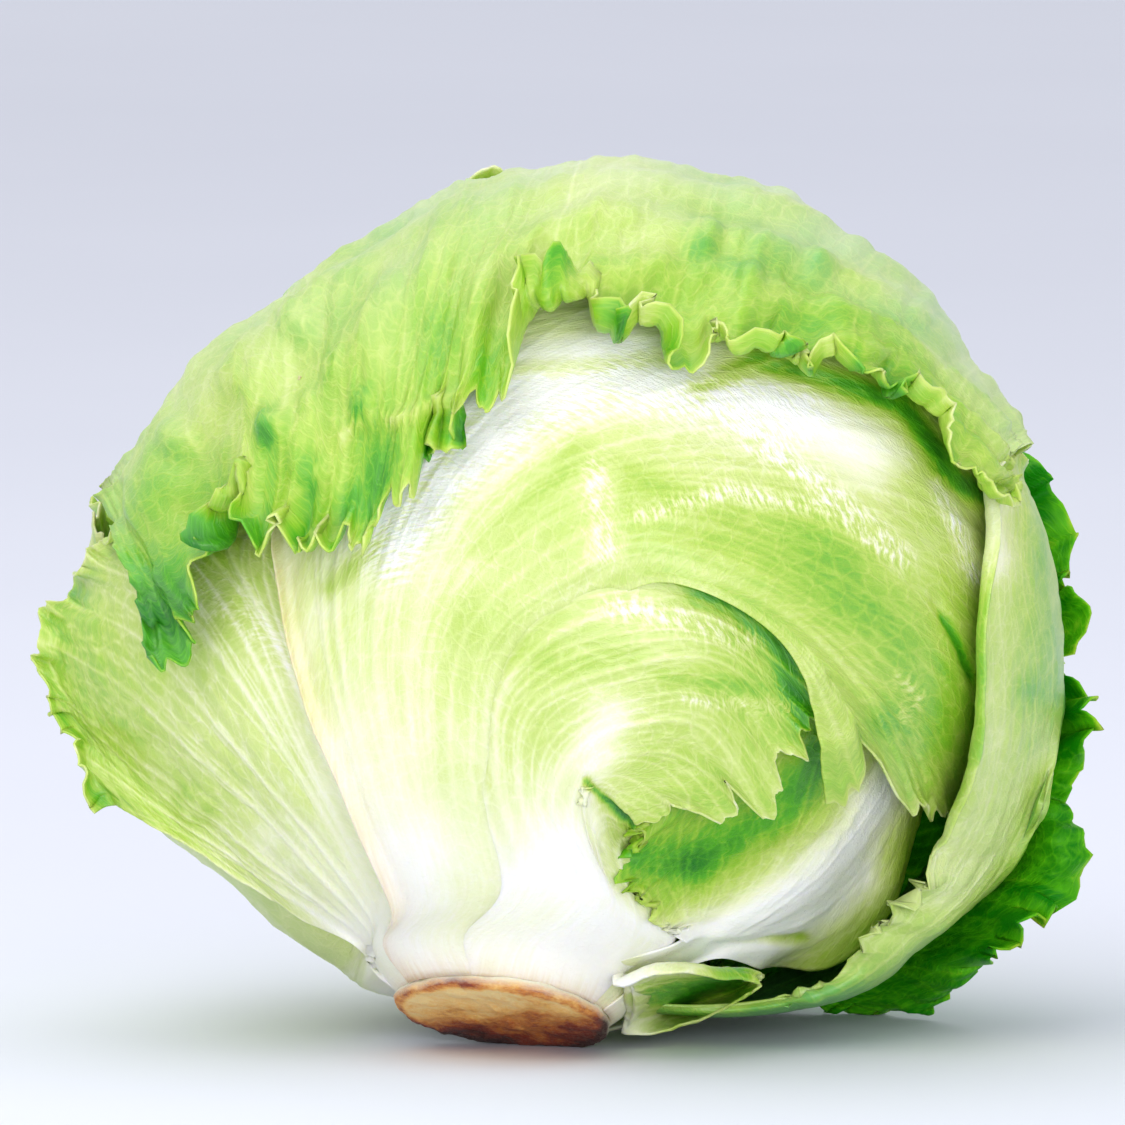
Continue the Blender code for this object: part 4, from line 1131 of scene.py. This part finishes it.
WRAPPER_TOP = dict(
    name="wrapper_top", seed=23, stem_angles=(182, 214), wave_height=3.5, tooth_width=11, tooth_depth=0.02,
    tooth_power=2, columns=400, rows=115, branches=6, vein_width=0.6, vein_height=0.5, vein_tone=0.12,
    quilt=0.9, swell=1.3, frill_height=2.2, roll=1.2, shine=0.6, painted_sheen=0.62, side_tone=0.04, fibre=0.08,
    tones=((0, 0), (0.15, 0.12), (0.35, 0.45), (0.7, 0.57), (1, 0.67)),
    stretches=(
        (-4, 35, 7.5, 2.1, 0.9, 10), (9, 38, 8, 1.4, 0.8, 3), (-19, 29, 4, -0.4, 0.5, 0),
        (-57, 12, 7, 1.6, 0.9, 1), (-46, 4, 6, 0.9, 0.9, 0), (-40, 6, 4, 0.6, 0.6, 0),
        (-25, 17, 9, -0.9, 0, 0), (32, 43, 8, 1.0, 0.9, 0), (48, 38, 6, 0.7, 0.6, 0),
        (60, 36, 6, 0.9, 0.7, 0), (67, 25, 6, -0.5, 0.2, 0)
    ),
    blisters=(
        (-46, 48.7, 2.8, 1.5), (-49.6, 30.1, 2.6, 2.0), (-33.6, 33.6, 2.4, 1.6), (24.8, 63.7, 3.4, 1.9),
        (46, 59.3, 3, 1.3), (-67.3, 28.3, 3.2, 1.2), (-43, 22, 2.4, 1.2), (-40, 41, 2.2, 1.1),
        (-57, 38, 2.6, 1.1), (33, 56, 2.2, 1.0), (-44, 35, 1.8, 0.9), (63, 50, 2.4, 1.0)
    ),
    # The wide pale spots at the upper left and top are painted sheen, and the small dark spots at the
    # blisters are painted shade in their dents; the two wide dark spots deepen the green of the left lobe and
    # the right side.
    shade_and_tone_spots=(
        (-68, -6, 16, 0.22), (-58, 42, 20, -0.12), (5, 72, 16, -0.16), (50, 52, 22, 0.06),
        (-50.4, 29, 2.2, 0.12), (24, 62, 2.8, 0.14), (27, 65, 2, 0.08), (45, 58, 2.4, 0.1),
        (-34.2, 32.6, 2, 0.08), (-47, 47.5, 2.2, 0.1), (-68, 27, 2.6, 0.06)
    ),
    bands=(
        (0.15, 4.5, ((-36, 16), (-29, 23), (-21, 29))),
        (-0.2, 0.6, ((-38, 28), (-33, 31.5), (-28, 31), (-18, 35)))
    ),
    creases=(
        (1.1, 1.0, ((-38, 28), (-33, 31.5), (-28, 31), (-18, 35))),
        (0.9, 2, ((-47, 8), (-45, 28), (-38, 44), (-30, 56))), (0.8, 1.8, ((-33, 14), (-28, 36), (-20, 52))),
        (0.6, 1.6, ((-12, 38), (-8, 52), (-4, 64))), (0.7, 1.6, ((30, 42), (33, 56), (36, 64))),
        (0.7, 1.8, ((52, 38), (50, 50), (44, 60))), (0.6, 1.5, ((62, 30), (62, 42), (56, 54))),
        (0.8, 2.2, ((-62, 4), (-60, 24), (-52, 40)))
    ),
    guides=[
        over((26, -46, 5), (64, -6, 5), (75, 19, 6), (80, 26, 8), (80, 21, 8.5), (79, 16, 9.5)),
        over((20, -44, 4.5), (60, 5, 5), (70, 28, 5.5), (76, 33, 6.5), (74, 25, 7.5), (70, 17, 8.5)),
        over((14, -40, 4.5), (46, 12, 5), (58, 42, 5), (63, 49, 5.5), (62, 41, 6.5), (60, 33, 8)),
        over((8, -38, 4.5), (32, 18, 5), (42, 52, 5), (46, 62, 5), (44, 49, 6), (42, 37.5, 7.5)),
        over((2, -36, 4.5), (18, 22, 5), (24, 62, 5), (27, 71, 5), (23, 55, 6), (22, 38, 7.5)),
        over((-4, -35, 4.5), (4, 25, 5), (8, 66, 5), (8, 75, 5), (5, 57, 6), (4, 36, 7)),
        over((-10, -35, 4.5), (-10, 25, 5), (-8, 66, 5), (-8, 73, 5), (-12, 53, 6), (-16, 28, 7.5)),
        over((-16, -36, 4.5), (-22, 22, 5), (-22, 62, 5), (-24, 68, 5), (-30, 38, 6), (-33, 6, 8)),
        over((-22, -38, 4.5), (-36, 18, 5), (-40, 54, 5), (-40, 58, 5), (-44, 32, 6), (-46, 4, 8)),
        over((-28, -40, 4.5), (-48, 10, 5), (-55, 42, 5), (-58, 46, 5.5), (-57, 30, 6.5), (-55, 9, 8)),
        over((-33, -43, 4), (-56, 0, 5), (-70, 25, 5.5), (-74, 28, 6.5), (-70, 11, 7.5), (-61, -3, 8)),
        over((-36, -45, 3.5), (-62, -10, 5), (-76, 15, 6.5), (-79, 19, 9), (-75, 5, 10), (-66, -17, 9.5)),
    ],
    **ragged(0.02, 0.9),
)

WRAPPER_RIGHT = dict(
    name="wrapper_right", seed=29, stem_angles=(128, 146), wave_height=3, tooth_width=13, flare=RIGHT_FLARE,
    lowest=0.05, rows=95, veins=11, branches=7, frill_height=2.2,
    # The darkest wrapper: its own dark green, deepened as painted shade for its place on the shaded right
    # side.
    tones=((0, 0.4), (0.2, 0.7), (0.5, 0.88), (1, 0.94)), shine=0, vein_tone=0.14, roll=1.2, roll_reach=8,
    notches=((-0.15, 0.06, 0.09), (0.12, 0.05, 0.08)), fibre=0.3,
    guides=[
        hidden((26, -68, 10), (32, -70, 13.5), (38, -71, 16.5), (48, -74, 22), (56, -74, 27)),
        hidden((25, -66, 10.5), (38, -62, 13.5), (54, -60, 15), (68, -60, 18), (78, -61, 23)),
        hidden((24, -64, 10.5), (42, -53, 12), (60, -50, 14), (78, -49, 19), (90, -49, 26)),
        hidden((22, -62, 10), (46, -42, 11), (66, -32, 12), (82, -24, 14), (91, -18, 17)),
        hidden((20, -60, 10), (44, -32, 10), (66, -14, 11), (80, -4, 12), (88, 7, 13)),
        hidden((17, -58, 9.5), (39, -23, 9.5), (58, 4, 9.5), (72, 16, 10), (84, 18, 10)),
        hidden((14, -56, 9.5), (33, -14, 9), (44, 14, 9), (54, 30, 9), (64, 42, 9)),
    ],
    **ragged(0.04),
)

WRAPPER_LEFT = dict(
    name="wrapper_left", seed=31, stem_angles=(-142, -100), root_lift=-1.2, tooth_width=13, flare=LEFT_FLARE,
    columns=160, rows=85, branches=6, frill_height=0.9, fibre=0.3,
    tones=((0, 0), (0.2, 0.25), (0.5, 0.5), (1, 0.62)),
    guides=[
        hidden((-4, -52, 9.5), (-4, -28, 9), (0, 2, 8.5), (5, 30, 8.5), (8, 52, 8.5), (12, 68, 8)),
        hidden((-10, -54, 9.5), (-16, -34, 9), (-18, -4, 8.5), (-17, 26, 8.5), (-14, 56, 8.5),
               (-9, 75.5, 8.5)),
        hidden((-16, -57, 9), (-30, -40, 9), (-38, -16, 9), (-42, 10, 9), (-40, 38, 9), (-32, 62, 9)),
        hidden((-23, -59, 9.5), (-40, -46, 8.5), (-54, -28, 9), (-61, -6, 10), (-62, 16, 10), (-56, 38, 10)),
        hidden((-30, -62, 9), (-48, -50, 8.5), (-64, -35, 9), (-73, -16, 10), (-76, 4, 10), (-74, 22, 10)),
        hidden((-36, -63, 8), (-56, -51, 7.5), (-73, -39, 11.5), (-83, -27, 14), (-83, -8, 12), (-80, 17, 9)),
        shown((-36, -58, 0), (-50, -46, 0.5), (-64, -32, 2), (-72, -18, 3), (-75, -6, 4), (-78, 13, 6)),
    ],
    **ragged(0.04),
)

WRAPPER_BACK = dict(
    name="wrapper_back", seed=37, stem_angles=(150, 178), tooth_width=13, flare=OUTER_FLARE, columns=160,
    rows=100, branches=7, frill_height=1.2, quilt=0.7, vein_height=0.9, fibre=0.3,
    tones=((0, 0), (0.15, 0.2), (0.45, 0.52), (1, 0.66)),
    guides=[
        hidden((32, -71, 20), (46, -52, 16), (57, -28, 13.5), (61, -6, 12.5), (60, 12, 12), (54, 28, 12)),
        hidden((24, -73, 21), (32, -54, 17), (37, -30, 13), (39, -2, 12), (38, 22, 11.5), (34, 42, 11)),
        hidden((11, -74, 21), (11, -56, 17), (11, -30, 13), (11, 0, 12), (12, 28, 11.5), (14, 50, 11)),
        hidden((-3, -74, 21), (-8, -56, 17), (-13, -30, 13), (-14, 0, 12), (-12, 28, 11.5), (-8, 52, 11)),
        hidden((-16, -73, 19), (-27, -56, 16), (-34, -30, 13), (-37, -2, 12.5), (-36, 22, 12), (-30, 42, 12)),
    ],
    **ragged(0.04),
)


# Studio


def look_from(thing, place, target):
    """Puts a light or camera in its place and turns it to a target."""
    thing.location = place
    thing.rotation_euler = (Vector(target) - Vector(place)).to_track_quat("-Z", "Y").to_euler()


def area_light(name, place, target, size, power):
    """A soft square light that shines on a target."""
    light = bpy.data.lights.new(name, "AREA")
    light.size = size
    light.energy = power
    lamp = bpy.data.objects.new(name, light)
    bpy.context.scene.collection.objects.link(lamp)
    look_from(lamp, place, target)


def studio():
    """A wide pale floor, soft lights, and the camera where the photographer stood."""
    scene = bpy.context.scene
    points = [(x * FLOOR_HALF, y * FLOOR_HALF, -FLOOR_DROP) for x, y in ((-1, -1), (1, -1), (1, 1), (-1, 1))]
    mesh = bpy.data.meshes.new("floor")
    mesh.from_pydata(points, [], [(0, 1, 2, 3)])
    floor = bpy.data.objects.new("floor", mesh)
    scene.collection.objects.link(floor)
    paper, tree, shader = new_material("floor_paper")
    place = add_node(tree, "ShaderNodeTexCoord").outputs["Object"]
    tint = ramp(tree, noise(tree, place, 3), ((0.3, (0.70, 0.72, 0.82)), (0.7, (0.72, 0.74, 0.84))))
    tree.links.new(tint, shader.inputs["Base Color"])
    set_inputs(shader, {"Roughness": 0.9})
    mesh.materials.append(paper)

    world = bpy.data.worlds.new("studio")
    world.use_nodes = True
    sky = world.node_tree.nodes["Background"]
    set_inputs(sky, {"Color": (0.97, 0.98, 1.0, 1), "Strength": 0.88})
    scene.world = world
    for name, place, size, power in LIGHTS:
        area_light(name, place, LIT_PLACE, size, power)
    scene.view_settings.view_transform = "Standard"

    camera = bpy.data.objects.new("camera", bpy.data.cameras.new("camera"))
    scene.collection.objects.link(camera)
    camera.data.sensor_width = 36
    camera.data.lens = CAMERA_LENS
    camera.data.clip_end = 30
    target = to_world(np.array(CAMERA_TARGET))
    slant = math.radians(VIEW_TILT)
    look_from(camera, target + CAMERA_DISTANCE * np.array([0, -math.cos(slant), math.sin(slant)]), target)
    scene.camera = camera


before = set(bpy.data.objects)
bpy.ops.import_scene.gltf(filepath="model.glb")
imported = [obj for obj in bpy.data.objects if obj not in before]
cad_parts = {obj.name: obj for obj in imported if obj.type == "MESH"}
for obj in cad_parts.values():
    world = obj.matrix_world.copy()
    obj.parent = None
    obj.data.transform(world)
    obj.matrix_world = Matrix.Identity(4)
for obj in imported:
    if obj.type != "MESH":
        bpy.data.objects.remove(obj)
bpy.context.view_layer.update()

make_stem()
make_heart()
for settings in (
    LEAF_FRONT, LEAF_FOLD, LEAF_HOLLOW, LEAF_LEFT, LEAF_RIGHT, LEAF_REMNANT,
    WRAPPER_TOP, WRAPPER_RIGHT, WRAPPER_LEFT, WRAPPER_BACK,
):
    make_leaf(**settings)
studio()
